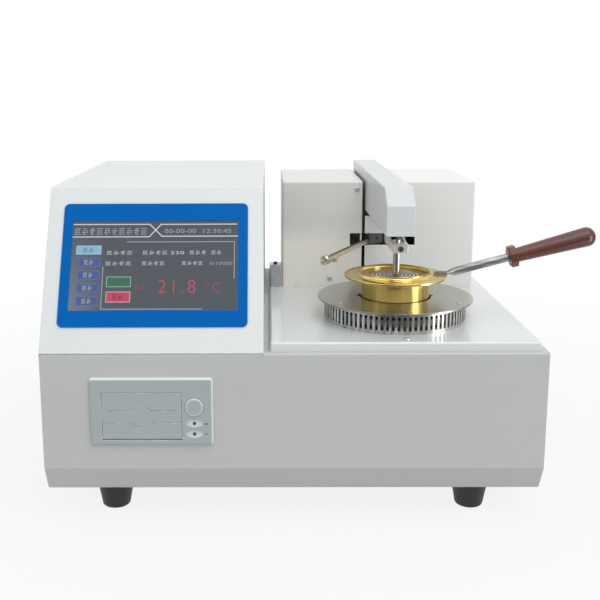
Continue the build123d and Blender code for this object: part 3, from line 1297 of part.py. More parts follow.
def make_print_head():
    """Thermal print head block behind the platen roller, on the case's back wall."""
    x_span = (DOOR_X[0] + 6, DOOR_X[1] - 6)
    y_span = (PLATEN_Y + PLATEN_R + 0.3, Y_FRONT + PRINTER_D - PRINTER_WALL)
    return block(x_span, y_span, (ROLL_Z + ROLL_R + 0.6, DOOR_Z[1] - 1.0))


def make_platen():
    """Rubber platen roller on its steel shaft."""
    middle = sum(DOOR_X) / 2
    roller = rod_x((middle - PLATEN_W / 2, middle + PLATEN_W / 2), PLATEN_Y, PLATEN_Z, PLATEN_R)
    shaft_x = (BAY_X[0] - PRINTER_WALL + 0.1, BAY_X[1] + PRINTER_WALL - 0.1)
    return roller + rod_x(shaft_x, PLATEN_Y, PLATEN_Z, PLATEN_SHAFT_R)


def make_paper_roll():
    """Roll of thermal paper lying loose in the bay on its core."""
    middle = sum(DOOR_X) / 2
    roll = rod_x((middle - ROLL_W / 2, middle + ROLL_W / 2), ROLL_Y, ROLL_Z, ROLL_R)
    return roll - rod_x((middle - ROLL_W, middle + ROLL_W), ROLL_Y, ROLL_Z, ROLL_CORE_R)


# ---------------------------------------------------------------- electronics and rear services
def make_main_board():
    """Main circuit board on the tray's bosses, with a few large components."""
    x0, x1, y0, y1 = BOARD_X, BOARD_X + MAIN_BOARD_W, BOARD_Y, BOARD_Y + MAIN_BOARD_D
    board = block((x0, x1), (y0, y1), (BOARD_Z, BOARD_Z + BOARD_T))
    top = BOARD_Z + BOARD_T
    near_x, near_y = x0 + PARTS_INSET, y0 + PARTS_INSET
    far_x, far_y = x1 - 2 * PARTS_INSET, y1 - PARTS_INSET
    board += block((near_x, near_x + CHIP_SIDE), (near_y, near_y + CHIP_SIDE), (top, top + CHIP_H))
    board += block((far_x - RELAY_W, far_x), (far_y - RELAY_D, far_y), (top, top + RELAY_H))
    capacitor = (x1 - PARTS_INSET - CAPACITOR_R, y0 + PARTS_INSET + CAPACITOR_R)
    board += post(*capacitor, (top, top + CAPACITOR_H), CAPACITOR_R)
    return board


def make_power_supply():
    """Caged power supply standing on the tray."""
    x0, y1, floor = X_LEFT + SUPPLY_FROM_LEFT, Y_BACK - SUPPLY_FROM_BACK, FOOT_H + SHEET
    body = block((x0, x0 + SUPPLY_W), (y1 - SUPPLY_D, y1), (floor, floor + SUPPLY_H))
    return chamfer(body.edges().filter_by(Axis.X), 1.0)


def make_fan_frame():
    """Square fan frame on the rear panel, with the motor seat carried by four ribs."""
    y_span = (Y_BACK - SHEET - FAN_D, Y_BACK - SHEET)
    half = FAN_SIZE / 2
    frame = block((FAN_X - half, FAN_X + half), y_span, (FAN_Z - half, FAN_Z + half))
    frame = fillet(frame.edges().filter_by(Axis.Y), 4)
    frame -= rod_y(FAN_X, (y_span[0] - 1, y_span[1] + 1), FAN_Z, FAN_TIP_R + 0.8)
    rib_y = (y_span[1] - 3, y_span[1])
    ribs = block((FAN_X - half + 1, FAN_X + half - 1), rib_y, (FAN_Z - 1.5, FAN_Z + 1.5))
    ribs += block((FAN_X - 1.5, FAN_X + 1.5), rib_y, (FAN_Z - half + 1, FAN_Z + half - 1))
    seat = rod_y(FAN_X, rib_y, FAN_Z, FAN_HUB_R)
    bearing = rod_y(FAN_X, (y_span[1] - 8, y_span[1]), FAN_Z, 3.5)
    axle_bore = rod_y(FAN_X, (y_span[0], y_span[1] - 1), FAN_Z, 1.5 + RUN_CLEAR)
    return frame + ribs + seat + bearing - axle_bore


def make_fan_rotor():
    """Fan rotor: hub, swept blades and axle."""
    y_span = (Y_BACK - SHEET - FAN_D + 1.5, Y_BACK - SHEET - 9.0)
    hub = rod_y(FAN_X, y_span, FAN_Z, FAN_HUB_R)
    for i in range(FAN_BLADES):
        blade = Box(FAN_TIP_R - FAN_HUB_R + 1.5, 1.6, y_span[1] - y_span[0] - 1.5)
        blade = Pos((FAN_TIP_R + FAN_HUB_R - 1.5) / 2, 0, 0) * Rot(38, 0, 0) * blade
        place = Pos(FAN_X, sum(y_span) / 2, FAN_Z) * Rot(90, 0, 0) * Rot(0, 0, i * 360 / FAN_BLADES)
        hub += place * blade
    sweep = rod_y(FAN_X, y_span, FAN_Z, FAN_TIP_R)
    return (hub & sweep) + rod_y(FAN_X, (y_span[1], y_span[1] + 6), FAN_Z, 1.5)


def make_inlet():
    """Mains inlet with three blades in its socket; its flange lies on the rear panel."""
    inner = (Y_BACK - SHEET - INLET_D, Y_BACK - SHEET)
    x_half, z_half = INLET_W / 2, INLET_H / 2
    z_span = (INLET_Z - z_half, INLET_Z + z_half)
    body = block((INLET_X - x_half, INLET_X + x_half), (inner[0], Y_BACK), z_span)
    body += block(
        (INLET_X - x_half - 2, INLET_X + x_half + 2),
        (Y_BACK, Y_BACK + INLET_FLANGE),
        (INLET_Z - z_half - 2, INLET_Z + z_half + 2),
    )
    socket = block(
        (INLET_X - SOCKET_W / 2, INLET_X + SOCKET_W / 2),
        (Y_BACK - SOCKET_D, Y_BACK + INLET_FLANGE + 1),
        (INLET_Z - SOCKET_H / 2, INLET_Z + SOCKET_H / 2),
    )
    body -= chamfer(socket.edges().filter_by(Axis.Y).sort_by(Axis.Z)[-2:], 2.0)
    for dx, dz in ((-7, -1.8), (7, -1.8), (0, 1.8)):
        x, z = INLET_X + dx, INLET_Z + dz
        body += block((x - 1, x + 1), (Y_BACK - SOCKET_D, Y_BACK - 3), (z - 2, z + 2))
    return body


def make_switch_case():
    """Case of the mains rocker switch."""
    half_w, half_h = SWITCH_W / 2, SWITCH_H / 2
    x_span, z_span = (SWITCH_X - half_w, SWITCH_X + half_w), (INLET_Z - half_h, INLET_Z + half_h)
    body = block(x_span, (Y_BACK - SWITCH_D, Y_BACK), z_span)
    well_x = (x_span[0] + SWITCH_WALL, x_span[1] - SWITCH_WALL)
    well_z = (z_span[0] + SWITCH_WALL, z_span[1] - SWITCH_WALL)
    body -= block(well_x, (Y_BACK - SWITCH_WELL, Y_BACK + 1), well_z)
    return body - rod_x((x_span[0] + 0.5, x_span[1] - 0.5), Y_BACK - 4, INLET_Z, 1.0 + RUN_CLEAR)


def make_rocker():
    """Switch rocker on its cross pin, tilted to off."""
    half_w, half_h = SWITCH_W / 2 - 1.8, SWITCH_H / 2 - 2.6
    cap = block((SWITCH_X - half_w, SWITCH_X + half_w), (-3.0, 2.6), (-half_h, half_h))
    cap = fillet(cap.edges().filter_by(Axis.X).sort_by(Axis.Y)[-2:], 1.5)
    cap = Pos(0, Y_BACK - 4, INLET_Z) * Rot(ROCKER_DEG, 0, 0) * cap
    pin_half = SWITCH_W / 2 - 0.7
    return cap + rod_x((SWITCH_X - pin_half, SWITCH_X + pin_half), Y_BACK - 4, INLET_Z, 1.0)


def make_gas_barb():
    """Hose spigot for the gas supply, through the rear panel with its nut inside."""
    spigot = rod_y(BARB_X, (Y_BACK - SHEET - 8, Y_BACK), BARB_Z, BARB_R + 1.0)
    spigot += rod_y(BARB_X, (Y_BACK, Y_BACK + 3), BARB_Z, BARB_R + 3.0)
    spigot += rod_y(BARB_X, (Y_BACK + 3, Y_BACK + BARB_L), BARB_Z, BARB_R - 0.8)
    for i in range(3):
        start = Y_BACK + BARB_L - 4.0 * (i + 1)
        rib = Pos(BARB_X, start + 1.75, BARB_Z) * Rot(-90, 0, 0) * Cone(BARB_R, BARB_R - 0.8, 3.5)
        spigot += rib
    spigot += rod_y(BARB_X, (Y_BACK - SHEET - 4, Y_BACK - SHEET), BARB_Z, BARB_R + 4)
    return spigot - rod_y(BARB_X, (Y_BACK - SHEET - 9, Y_BACK + BARB_L + 1), BARB_Z, BARB_R - 2.0)


def make_screws():
    """All the small pan-head screws: of the fixed covers, the round cover and one in the deck."""
    screws = []
    for x, z in left_cover_screws():
        head = rod_y(x, (HEAD_FRONT - SCREW_HEAD_H, HEAD_FRONT), z, SCREW_HEAD_R)
        head = fillet(head.edges().filter_by(GeomType.CIRCLE).sort_by(Axis.Y)[0], 1.0)
        screws.append(head + rod_y(x, (HEAD_FRONT, HEAD_FRONT + SHEET + FRAME_T), z, SCREW_R))
    for y, z in right_cover_screws():
        head = rod_x((HEAD_RIGHT, HEAD_RIGHT + SCREW_HEAD_H), y, z, SCREW_HEAD_R)
        head = fillet(head.edges().filter_by(GeomType.CIRCLE).sort_by(Axis.X)[-1], 1.0)
        screws.append(head + rod_x((HEAD_RIGHT - SHEET - FRAME_T, HEAD_RIGHT), y, z, SCREW_R))
    top = COVER_Z + COVER_T
    for x, y in around_cup(3, COVER_POST_RING_R):
        head = post(x, y, (top, top + 0.6), SCREW_HEAD_R - 0.6)
        screws.append(head + post(x, y, (top - 7, top), SCREW_R))
    y = CUP_Y - DECK_SCREW_AHEAD
    head = post(CUP_X, y, (DECK_Z, DECK_Z + SCREW_HEAD_H), SCREW_HEAD_R)
    head = fillet(head.edges().filter_by(GeomType.CIRCLE).sort_by(Axis.Z)[-1], 1.0)
    screws.append(head + post(CUP_X, y, (DECK_Z - DECK_T - 4, DECK_Z), SCREW_R))
    return Compound(children=screws)


def main():
    """Builds every sub-part and writes it."""
    front = make_front_panel()
    console = make_console_cover()
    rear = make_rear_panel()
    tray = make_base_tray(front)
    side = console_section((X_LEFT, X_LEFT + SHEET)) - front - console - rear - tray
    inner = console_section((CONSOLE_RIGHT - SHEET, CONSOLE_RIGHT))
    inner &= block((CONSOLE_RIGHT - SHEET, CONSOLE_RIGHT), (Y_FRONT, Y_BACK), (FRONT_H - LEDGE, CONSOLE_H))
    inner += block(
        (CONSOLE_RIGHT, DECK_LEFT + LEDGE), (Y_FRONT + LEDGE, Y_BACK - LEDGE), (FRONT_H - SHEET, FRONT_H)
    )
    inner = inner - front - console - rear
    right = console_section((X_RIGHT - SHEET, X_RIGHT))
    right &= block((X_RIGHT - SHEET, X_RIGHT), (Y_FRONT, Y_BACK), (FOOT_H, FRONT_H))
    right += block((X_RIGHT - LEDGE, X_RIGHT), (Y_FRONT + LEDGE, Y_BACK), (FRONT_H - SHEET, FRONT_H))
    right = right - front - rear - tray
    side, inner, right = (largest(part) for part in (side, inner, right))
    save("front_panel", front)
    save("console_cover", console)
    save("rear_panel", rear)
    save("base_tray", tray)
    save("left_side_panel", side)
    save("console_inner_wall", inner)
    save("right_side_panel", right)
    save("deck_pan", make_deck())
    save("rubber_feet", Compound(children=[make_foot(x, y) for x, y in foot_places()]))
    save("foot_screws", Compound(children=[make_foot_screw(x, y) for x, y in foot_places()]))
    makers = {
        "screen_bezel": make_bezel,
        "touch_screen": make_screen,
        "display_board": make_display_board,
        "hot_plate": make_hot_plate,
        "heating_element": make_heating_element,
        "insulation_ring": make_insulation,
        "plate_posts": make_plate_posts,
        "round_cover": make_round_cover,
        "guard_ring": make_guard,
        "test_cup": make_cup,
        "handle_shank": make_shank,
        "handle_rivets": make_rivets,
        "handle_grip": make_grip,
        "head_cover_left": make_head_left,
        "head_cover_right": make_head_right,
        "head_frame": make_head_frame,
        "lift_gear": make_lift_gear,
        "lift_pinion": make_pinion,
        "lift_motor": make_lift_motor,
        "pivot_bushes": make_bushes,
        "pivot_shaft": make_pivot_shaft,
        "arm_cover": make_arm_cover,
        "arm_frame": make_arm_frame,
        "probe_yoke": make_yoke,
        "clamp_screw": make_clamp_screw,
        "temperature_probe": make_probe,
        "igniter_hub": make_igniter_hub,
        "igniter_shaft": make_igniter_shaft,
        "igniter_tube": make_igniter_tube,
        "tube_nut": make_tube_nut,
        "igniter_head": make_igniter_head,
        "igniter_motor": make_igniter_motor,
        "valve_block": make_valve_block,
        "valve_knob": make_valve_knob,
        "printer_case": make_printer_case,
        "printer_door": make_printer_door,
        "feed_button": make_feed_button,
        "status_lamps": make_lamps,
        "print_head": make_print_head,
        "platen_roller": make_platen,
        "paper_roll": make_paper_roll,
        "main_board": make_main_board,
        "power_supply": make_power_supply,
        "fan_frame": make_fan_frame,
        "fan_rotor": make_fan_rotor,
        "mains_inlet": make_inlet,
        "switch_case": make_switch_case,
        "switch_rocker": make_rocker,
        "gas_spigot": make_gas_barb,
        "small_screws": make_screws,
    }
    for name, maker in makers.items():
        save(name, maker())


main()
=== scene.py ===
import math

import bpy
import numpy as np
from mathutils import Matrix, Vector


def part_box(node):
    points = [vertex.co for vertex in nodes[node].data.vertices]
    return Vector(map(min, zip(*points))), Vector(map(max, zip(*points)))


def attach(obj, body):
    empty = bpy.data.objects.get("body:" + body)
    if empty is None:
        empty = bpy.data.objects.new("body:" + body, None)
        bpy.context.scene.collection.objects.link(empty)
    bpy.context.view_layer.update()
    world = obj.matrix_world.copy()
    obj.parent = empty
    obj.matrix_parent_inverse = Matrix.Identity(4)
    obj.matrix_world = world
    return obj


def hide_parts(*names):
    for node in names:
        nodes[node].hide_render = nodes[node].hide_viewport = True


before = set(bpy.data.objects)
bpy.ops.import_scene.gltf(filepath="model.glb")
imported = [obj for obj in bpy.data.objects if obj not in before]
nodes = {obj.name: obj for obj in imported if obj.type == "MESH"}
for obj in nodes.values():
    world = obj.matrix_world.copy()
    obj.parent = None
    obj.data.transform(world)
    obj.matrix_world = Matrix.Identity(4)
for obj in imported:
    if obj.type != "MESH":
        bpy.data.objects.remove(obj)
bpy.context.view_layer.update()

# ---------------------------------------------------------------- rubber feet
# Four tapered feet of black moulded rubber under the corners of the tray,
# each clamped by one screw that sits in a recess in its sole.
RUBBER_BLACK, RUBBER_WORN = (30, 30, 32), (58, 58, 60)


def paint(red, green, blue):
    """Linear colour of a display colour given as 0 to 255: ((c + 0.055) / 1.055) to the power 2.4."""
    c = np.array([red, green, blue]) / 255
    linear = np.where(c <= 0.04045, c / 12.92, ((c + 0.055) / 1.055) ** 2.4)
    return (*(float(v) for v in linear), 1.0)


def add(tree, kind, feeds=(), **settings):
    """Adds one shader node; feeds pairs a socket with a value or with the socket that feeds it."""
    made = tree.nodes.new("ShaderNode" + kind)
    for key, value in settings.items():
        setattr(made, key, value)
    for key, value in dict(feeds).items():
        if isinstance(value, bpy.types.NodeSocket):
            tree.links.new(value, made.inputs[key])
        else:
            made.inputs[key].default_value = value
    return made


def own_place(tree):
    """Coordinates of a point on the piece itself."""
    return add(tree, "TexCoord").outputs["Object"]


def ramp(tree, value, start, end, low=0.0, high=1.0):
    """Socket of a clamped straight ramp: a value of start gives low and a value of end gives high."""
    feeds = {"Value": value, "From Min": start, "From Max": end, "To Min": low, "To Max": high}
    return add(tree, "MapRange", feeds).outputs["Result"]


def new_group(name, takes, gives):
    """An empty node group with named sockets; returns the tree, its input and its output node."""
    tree = bpy.data.node_groups.new(name, "ShaderNodeTree")
    for label, kind, value in takes:
        tree.interface.new_socket(label, in_out="INPUT", socket_type=kind).default_value = value
    for label, kind in gives:
        tree.interface.new_socket(label, in_out="OUTPUT", socket_type=kind)
    return tree, tree.nodes.new("NodeGroupInput"), tree.nodes.new("NodeGroupOutput")


def make_edge_wear_and_highlight():
    """Mask that is 1 on sharp outer edges, used for rubbed edges on dark pieces and a painted highlight on
    pale coats: one minus the dot of the face's normal and the rounded one.
    """
    tree, takes, gives = new_group(
        "edge wear", [("Radius", "NodeSocketFloat", 0.001)], [("Mask", "NodeSocketFloat")]
    )
    rounded = add(tree, "Bevel", {"Radius": takes.outputs["Radius"]}, samples=4).outputs["Normal"]
    flat = add(tree, "NewGeometry").outputs["Normal"]
    dot = add(tree, "VectorMath", {0: rounded, 1: flat}, operation="DOT_PRODUCT")
    turn = ramp(tree, dot.outputs["Value"], 0.99, 0.86)
    place = own_place(tree)
    patches = add(tree, "TexNoise", {"Vector": place, "Scale": 130.0, "Detail": 3.0})
    broken = ramp(tree, patches.outputs["Fac"], 0.35, 0.65)
    mask = add(tree, "Math", {0: turn, 1: broken}, operation="MULTIPLY")
    tree.links.new(mask.outputs["Value"], gives.inputs["Mask"])
    return tree


def make_grain():
    """Fine surface height and a slow change of tone, both noise on the piece's own coordinates."""
    tree, takes, gives = new_group(
        "surface grain",
        [("Fine", "NodeSocketFloat", 900.0), ("Broad", "NodeSocketFloat", 9.0)],
        [("Height", "NodeSocketFloat"), ("Tone", "NodeSocketFloat")],
    )
    place = own_place(tree)
    fine = add(tree, "TexNoise", {"Vector": place, "Scale": takes.outputs["Fine"], "Detail": 2.0})
    broad = add(tree, "TexNoise", {"Vector": place, "Scale": takes.outputs["Broad"], "Detail": 1.0})
    feeds = {"Value": broad.outputs["Fac"], "From Min": 0.2, "From Max": 0.8}
    tone = add(tree, "MapRange", feeds, interpolation_type="SMOOTHSTEP")
    tree.links.new(fine.outputs["Fac"], gives.inputs["Height"])
    tree.links.new(tone.outputs["Result"], gives.inputs["Tone"])
    return tree


EDGE_WEAR_AND_HIGHLIGHT, GRAIN = make_edge_wear_and_highlight(), make_grain()


def use_group(tree, group, **constants):
    """Places a node group in a tree and sets its constants."""
    made = add(tree, "Group")
    made.node_tree = group
    for key, value in constants.items():
        made.inputs[key].default_value = value
    return made


def relief(tree, shader, height, depth, strength, edge):
    """Bump from a height socket, laid on a normal that rounds the edges over a small radius."""
    soft = add(tree, "Bevel", {"Radius": edge}, samples=4).outputs["Normal"]
    bump = add(tree, "Bump", {"Height": height, "Distance": depth, "Strength": strength, "Normal": soft})
    tree.links.new(bump.outputs["Normal"], shader.inputs["Normal"])


def new_material(name, **constants):
    """A Principled material with constants set on its own sockets; returns it, its tree and its shader."""
    material = bpy.data.materials.new(name)
    material.use_nodes = True
    shader = material.node_tree.nodes["Principled BSDF"]
    for key, value in constants.items():
        shader.inputs[key.replace("_", " ")].default_value = value
    return material, material.node_tree, shader


def blend_colour(tree, amount, first, second):
    """Mixes two colours, each a value or a socket, by an amount socket."""
    mix = add(tree, "Mix", data_type="RGBA")
    tree.links.new(amount, mix.inputs["Factor"])
    for place, colour in ((6, first), (7, second)):
        if isinstance(colour, bpy.types.NodeSocket):
            tree.links.new(colour, mix.inputs[place])
        else:
            mix.inputs[place].default_value = colour
    return mix.outputs[2]


def set_colour(tree, shader, amount, first, second):
    """Feeds the shader's base colour with a mix of two colours."""
    tree.links.new(blend_colour(tree, amount, first, second), shader.inputs["Base Color"])


def coated(name, colour, worn_and_lit_edge, rough, fine=900.0, depth=0.000006, tone=0.05, edge=0.0008, **constants):
    """Paint, plastic or rubber: a drifting tone, a fine grain, soft edges in a second colour, which is rubbed
    on dark pieces and a painted highlight on pale coats.
    """
    material, tree, shader = new_material(name, **constants)
    grain = use_group(tree, GRAIN, Fine=fine)
    wear_and_highlight = use_group(tree, EDGE_WEAR_AND_HIGHLIGHT, Radius=edge * 1.5)
    base = np.array(paint(*colour))
    dark = (*(base[:3] * (1 - tone)).tolist(), 1.0)
    light = (*np.minimum(base[:3] * (1 + tone), 1.0).tolist(), 1.0)
    drift = blend_colour(tree, grain.outputs["Tone"], dark, light)
    set_colour(tree, shader, wear_and_highlight.outputs["Mask"], drift, paint(*worn_and_lit_edge))
    gloss = ramp(tree, grain.outputs["Tone"], 0.0, 1.0, rough - 0.03, rough + 0.03)
    tree.links.new(gloss, shader.inputs["Roughness"])
    relief(tree, shader, grain.outputs["Height"], depth, 0.6, edge)
    return material


def finish(material, *names):
    """Gives CAD nodes their finished material."""
    for name in names:
        nodes[name].data.materials.clear()
        nodes[name].data.materials.append(material)


finish(
    coated("foot rubber", RUBBER_BLACK, RUBBER_WORN, 0.5, fine=700.0, depth=0.0001, tone=0.15), "rubber_feet"
)

# ---------------------------------------------------------------- zinc-plated fasteners and inner frame
# The foot screws, cover screws, heater spacers, the inner head frame and the power supply's
# cage are bright zinc-plated steel, with the faint cloudy streaks that plating has.
ZINC, ZINC_DULL = (188, 190, 190), (138, 139, 138)
SCREW_ZINC, SCREW_DULL = (228, 229, 228), (188, 189, 188)


def make_streaks():
    """Streaks along one direction: noise on coordinates that are squeezed across it."""
    tree, takes, gives = new_group(
        "metal streaks",
        [("Squeeze", "NodeSocketVector", (1.0, 1.0, 1.0)), ("Scale", "NodeSocketFloat", 60.0)],
        [("Height", "NodeSocketFloat"), ("Tone", "NodeSocketFloat")],
    )
    place = own_place(tree)
    squeezed = add(tree, "VectorMath", {0: place, 1: takes.outputs["Squeeze"]}, operation="MULTIPLY")
    feeds = {"Vector": squeezed.outputs["Vector"], "Scale": takes.outputs["Scale"]}
    noise = add(tree, "TexNoise", {**feeds, "Detail": 5.0, "Roughness": 0.6})
    tree.links.new(noise.outputs["Fac"], gives.inputs["Height"])
    tree.links.new(ramp(tree, noise.outputs["Fac"], 0.3, 0.7), gives.inputs["Tone"])
    return tree


STREAKS = make_streaks()
EVEN, ALONG_X, ALONG_Y = (1.0, 1.0, 1.0), (0.1, 1.0, 1.0), (1.0, 0.1, 1.0)  # how streaks are squeezed


def streaked(
    name, colour, dull, rough, squeeze, scale, depth=0.00001, edge=0.0004, spread=0.06, metal=1.0
):
    """Brushed or plated metal: tone, gloss and a faint relief all follow one set of streaks."""
    material, tree, shader = new_material(name, Metallic=metal)
    streaks = use_group(tree, STREAKS, Squeeze=squeeze, Scale=scale)
    set_colour(tree, shader, streaks.outputs["Tone"], paint(*dull), paint(*colour))
    gloss = ramp(tree, streaks.outputs["Tone"], 0.0, 1.0, rough + spread, rough - spread / 2)
    tree.links.new(gloss, shader.inputs["Roughness"])
    relief(tree, shader, streaks.outputs["Height"], depth, 0.5, edge)
    return material


zinc = streaked("zinc plate", ZINC, ZINC_DULL, 0.3, EVEN, scale=120.0)
finish(zinc, "foot_screws", "plate_posts", "head_frame", "power_supply")
finish(
    streaked("screw zinc", SCREW_ZINC, SCREW_DULL, 0.28, EVEN, scale=500.0, metal=0.85),
    "small_screws",
)

# ---------------------------------------------------------------- cabinet
# Folded steel sheet, 1.5 mm, with light grey satin powder coat: tray, front, sides and back.
# The sheets overlap at inward folds and are screwed from inside, so no screw shows in front.
# Sharp edges take a lighter colour, a painted highlight.
CABINET_GREY, CABINET_EDGE_HIGHLIGHT = (188, 190, 189), (214, 217, 216)
finish(
    coated("grey powder coat", CABINET_GREY, CABINET_EDGE_HIGHLIGHT, 0.36, fine=1300.0, tone=0.012),
    "front_panel",
    "base_tray",
    "rear_panel",
    "left_side_panel",
    "right_side_panel",
)

# ---------------------------------------------------------------- console shell and deck
# The same sheet in white: the console's cover with its sloping screen face, its inner wall in a
# greyer coat that is painted shade for the groove beside the deck, and the deck pan with the
# heater's opening, which has a clear glossy coat.
# Sharp edges take a lighter colour, a painted highlight.
SHELL_WHITE, SHELL_EDGE_HIGHLIGHT = (216, 220, 220), (244, 247, 247)
# A darker grey than the cover, as painted shade in the groove.
INNER_SHADE_GREY = (202, 204, 203)
finish(coated("white powder coat", SHELL_WHITE, SHELL_EDGE_HIGHLIGHT, 0.34, tone=0.01, edge=0.0011), "console_cover")
finish(coated("inner wall shade coat", INNER_SHADE_GREY, SHELL_WHITE, 0.4, fine=1300.0), "console_inner_wall")
deck_grain = {"fine": 1300.0, "depth": 0.000002, "tone": 0.01}
deck_gloss = {"Coat_Weight": 0.6, "Coat_Roughness": 0.1}
finish(coated("deck powder coat", SHELL_WHITE, SHELL_EDGE_HIGHLIGHT, 0.3, **deck_grain, **deck_gloss), "deck_pan")

# ---------------------------------------------------------------- screen bezel
# Polyester film overlay, printed blue on its back and bonded round the display's window.
# It is nearly matt, and paler where its cut edge shows.
BEZEL_BLUE, BEZEL_RIM = (0, 94, 172), (60, 150, 220)
finish(
    coated("blue overlay film", BEZEL_BLUE, BEZEL_RIM, 0.42, tone=0.02, edge=0.0004, Specular_IOR_Level=0.06),
    "screen_bezel",
)

# ---------------------------------------------------------------- touch screen and its picture
# Seven-inch display module, flush in the sloping face. What it shows is a layer of lit shapes
# just over the glass: rules, keys, fine strokes where words stand, a clock and the reading.
cover_low, cover_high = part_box("console_cover")
FACE_FOOT = np.array(cover_low)  # lower left corner of the sloping face
FACE_RUN, FACE_TALL = 0.077, cover_high.z - cover_low.z  # how far it leans back, and its height
FACE_RISE = np.array([0.0, FACE_RUN, FACE_TALL]) / math.hypot(FACE_RUN, FACE_TALL)
FACE_OUT = np.array([0.0, -FACE_TALL, FACE_RUN]) / math.hypot(FACE_RUN, FACE_TALL)
LIT_LEFT, LIT_LOW = 23.5, 39.65  # lit area's lower left corner on the face, in mm
LIT_LIFT = 0.06  # mm between the glass and the shapes
PICTURE_WHITE = (228, 234, 240)
PICTURE_GREY = (178, 184, 192)
PICTURE_RULE = (176, 186, 204)
KEY_LIT = (150, 205, 236)
KEY_BLUE = (88, 104, 166)
KEY_WORD = (196, 208, 130)
GREEN_KEY, GREEN_RIM = (70, 124, 100), (168, 200, 190)
RED_KEY, RED_RIM, RED_WORD = (214, 84, 110), (234, 190, 200), (124, 50, 74)
READING_RED = (200, 78, 96)
GLASS_GREY, GLASS_BLUE = (84, 89, 96), (124, 136, 154)
BLUE_FROM_X, BLUE_FROM_Z = (-0.17, -0.205), (0.27, 0.19)  # the glass turns bluish over these spans


def on_screen(across, up, out=LIT_LIFT):
    """Points on the sloping face: foot + across * X + up the slope + out along its normal, mm to metres."""
    across, up, out = np.broadcast_arrays(np.asarray(across, float), np.asarray(up, float), out)
    sideways = np.multiply.outer((across + LIT_LEFT) / 1000, np.array([1.0, 0.0, 0.0]))
    upwards = np.multiply.outer((up + LIT_LOW) / 1000, FACE_RISE)
    return FACE_FOOT + sideways + upwards + np.multiply.outer(out / 1000, FACE_OUT)


def new_piece(name, mesh, material):
    """A piece at the origin, made of a mesh already in place and one material."""
    piece = bpy.data.objects.new(name, mesh)
    bpy.context.scene.collection.objects.link(piece)
    mesh.materials.clear()
    mesh.materials.append(material)
    return piece


def lit_shapes(name, boxes, lines, light):
    """One mesh of flat quads: boxes (x0, y0, x1, y1, colour) and lines (x0, y0, x1, y1, width, colour).

    A line is the quad start +- n, end +- n, where n is its unit normal times half its width.
    """
    box = np.array([b[:4] for b in boxes], float).reshape(-1, 4)
    line = np.array([s[:5] for s in lines], float).reshape(-1, 5)
    x, y = box[:, [0, 2, 2, 0]], box[:, [1, 1, 3, 3]]
    along = line[:, 2:4] - line[:, 0:2]
    along = along / np.maximum(np.linalg.norm(along, axis=1, keepdims=True), 1e-9)
    side = np.stack([along[:, 1], -along[:, 0]], axis=1) * line[:, 4:5] / 2
    start, end = line[:, 0:2] - along * line[:, 4:5] / 2, line[:, 2:4] + along * line[:, 4:5] / 2
    corner = np.stack([start + side, end + side, end - side, start - side], axis=1)
    turned = np.cross(corner[:, 1] - corner[:, 0], corner[:, 2] - corner[:, 0]) < 0
    corner[turned] = corner[turned][:, ::-1]
    x, y = np.concatenate([x, corner[:, :, 0]]), np.concatenate([y, corner[:, :, 1]])
    lift = LIT_LIFT + 0.004 * np.arange(len(x))[:, None]
    points = on_screen(x, y, lift).reshape(-1, 3)
    mesh = bpy.data.meshes.new(name)
    mesh.from_pydata(points.tolist(), [], np.arange(len(points)).reshape(-1, 4).tolist())
    colours = np.array([paint(*b[4]) for b in boxes] + [paint(*s[5]) for s in lines])
    layer = mesh.color_attributes.new("lit", "FLOAT_COLOR", "CORNER")
    layer.data.foreach_set("color", np.repeat(colours, 4, axis=0).ravel())
    piece = new_piece(name, mesh, lit_pixels(name + " light", light))
    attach(piece, "cabinet")


def lit_pixels(name, light, colour=None):
    """Pixels behind glass: emission from the shape's own colour, with a faint pixel raster in it."""
    constants = {"Roughness": 0.22, "Emission_Strength": light, "Specular_IOR_Level": 0.12}
    material, tree, shader = new_material(name, **constants)
    shader.inputs["Base Color"].default_value = (0.01, 0.01, 0.012, 1.0)
    place = own_place(tree)
    raster = add(tree, "TexWave", {"Vector": place, "Scale": 900.0}, bands_direction="X").outputs["Fac"]
    dimmed = add(tree, "VectorMath", {"Scale": ramp(tree, raster, 0.0, 1.0, 0.86, 1.0)}, operation="SCALE")
    if colour is None:
        drawn = add(tree, "VertexColor", layer_name="lit")
        tree.links.new(drawn.outputs["Color"], dimmed.inputs[0])
    else:
        dimmed.inputs[0].default_value = paint(*colour)[:3]
    tree.links.new(dimmed.outputs["Vector"], shader.inputs["Emission Color"])
    return material


def word(x0, x1, low, high, cells, colour):
    """Fine strokes that stand where a word is shown: each cell has four bars and two posts, staggered."""
    pitch, tall = (x1 - x0) / cells, high - low
    thick, wide = 0.1 * tall, 0.8 * pitch
    strokes = []
    for i in range(cells):
        left = x0 + i * pitch
        for j, level in enumerate((0.0, 0.3, 0.6, 0.9)):
            start = left + 0.14 * wide * ((i + 2 * j) % 3)
            end = left + wide * (1.0 - 0.16 * ((2 * i + j) % 3))
            strokes.append((start, low + level * tall, end, low + level * tall + thick, colour))
        for j, stem in enumerate((0.2, 0.66)):
            place = left + wide * (stem + 0.1 * ((i + j) % 3 - 1))
            strokes.append((place, low + 0.3 * j * tall, place + thick, high - 0.3 * (i % 2) * tall, colour))
    return strokes


def key(x0, y0, x1, y1, fill, rim, cells, ink):
    """A key: rim, face inside it, and a short word of bars in its middle."""
    shapes = [(x0, y0, x1, y1, rim), (x0 + 0.7, y0 + 0.7, x1 - 0.7, y1 - 0.7, fill)]
    middle, half, tall = (x0 + x1) / 2, (x1 - x0) * 0.23, (y1 - y0) * 0.25
    if cells:
        shapes += word(middle - half, middle + half, (y0 + y1) / 2 - tall, (y0 + y1) / 2 + tall, cells, ink)
    return shapes


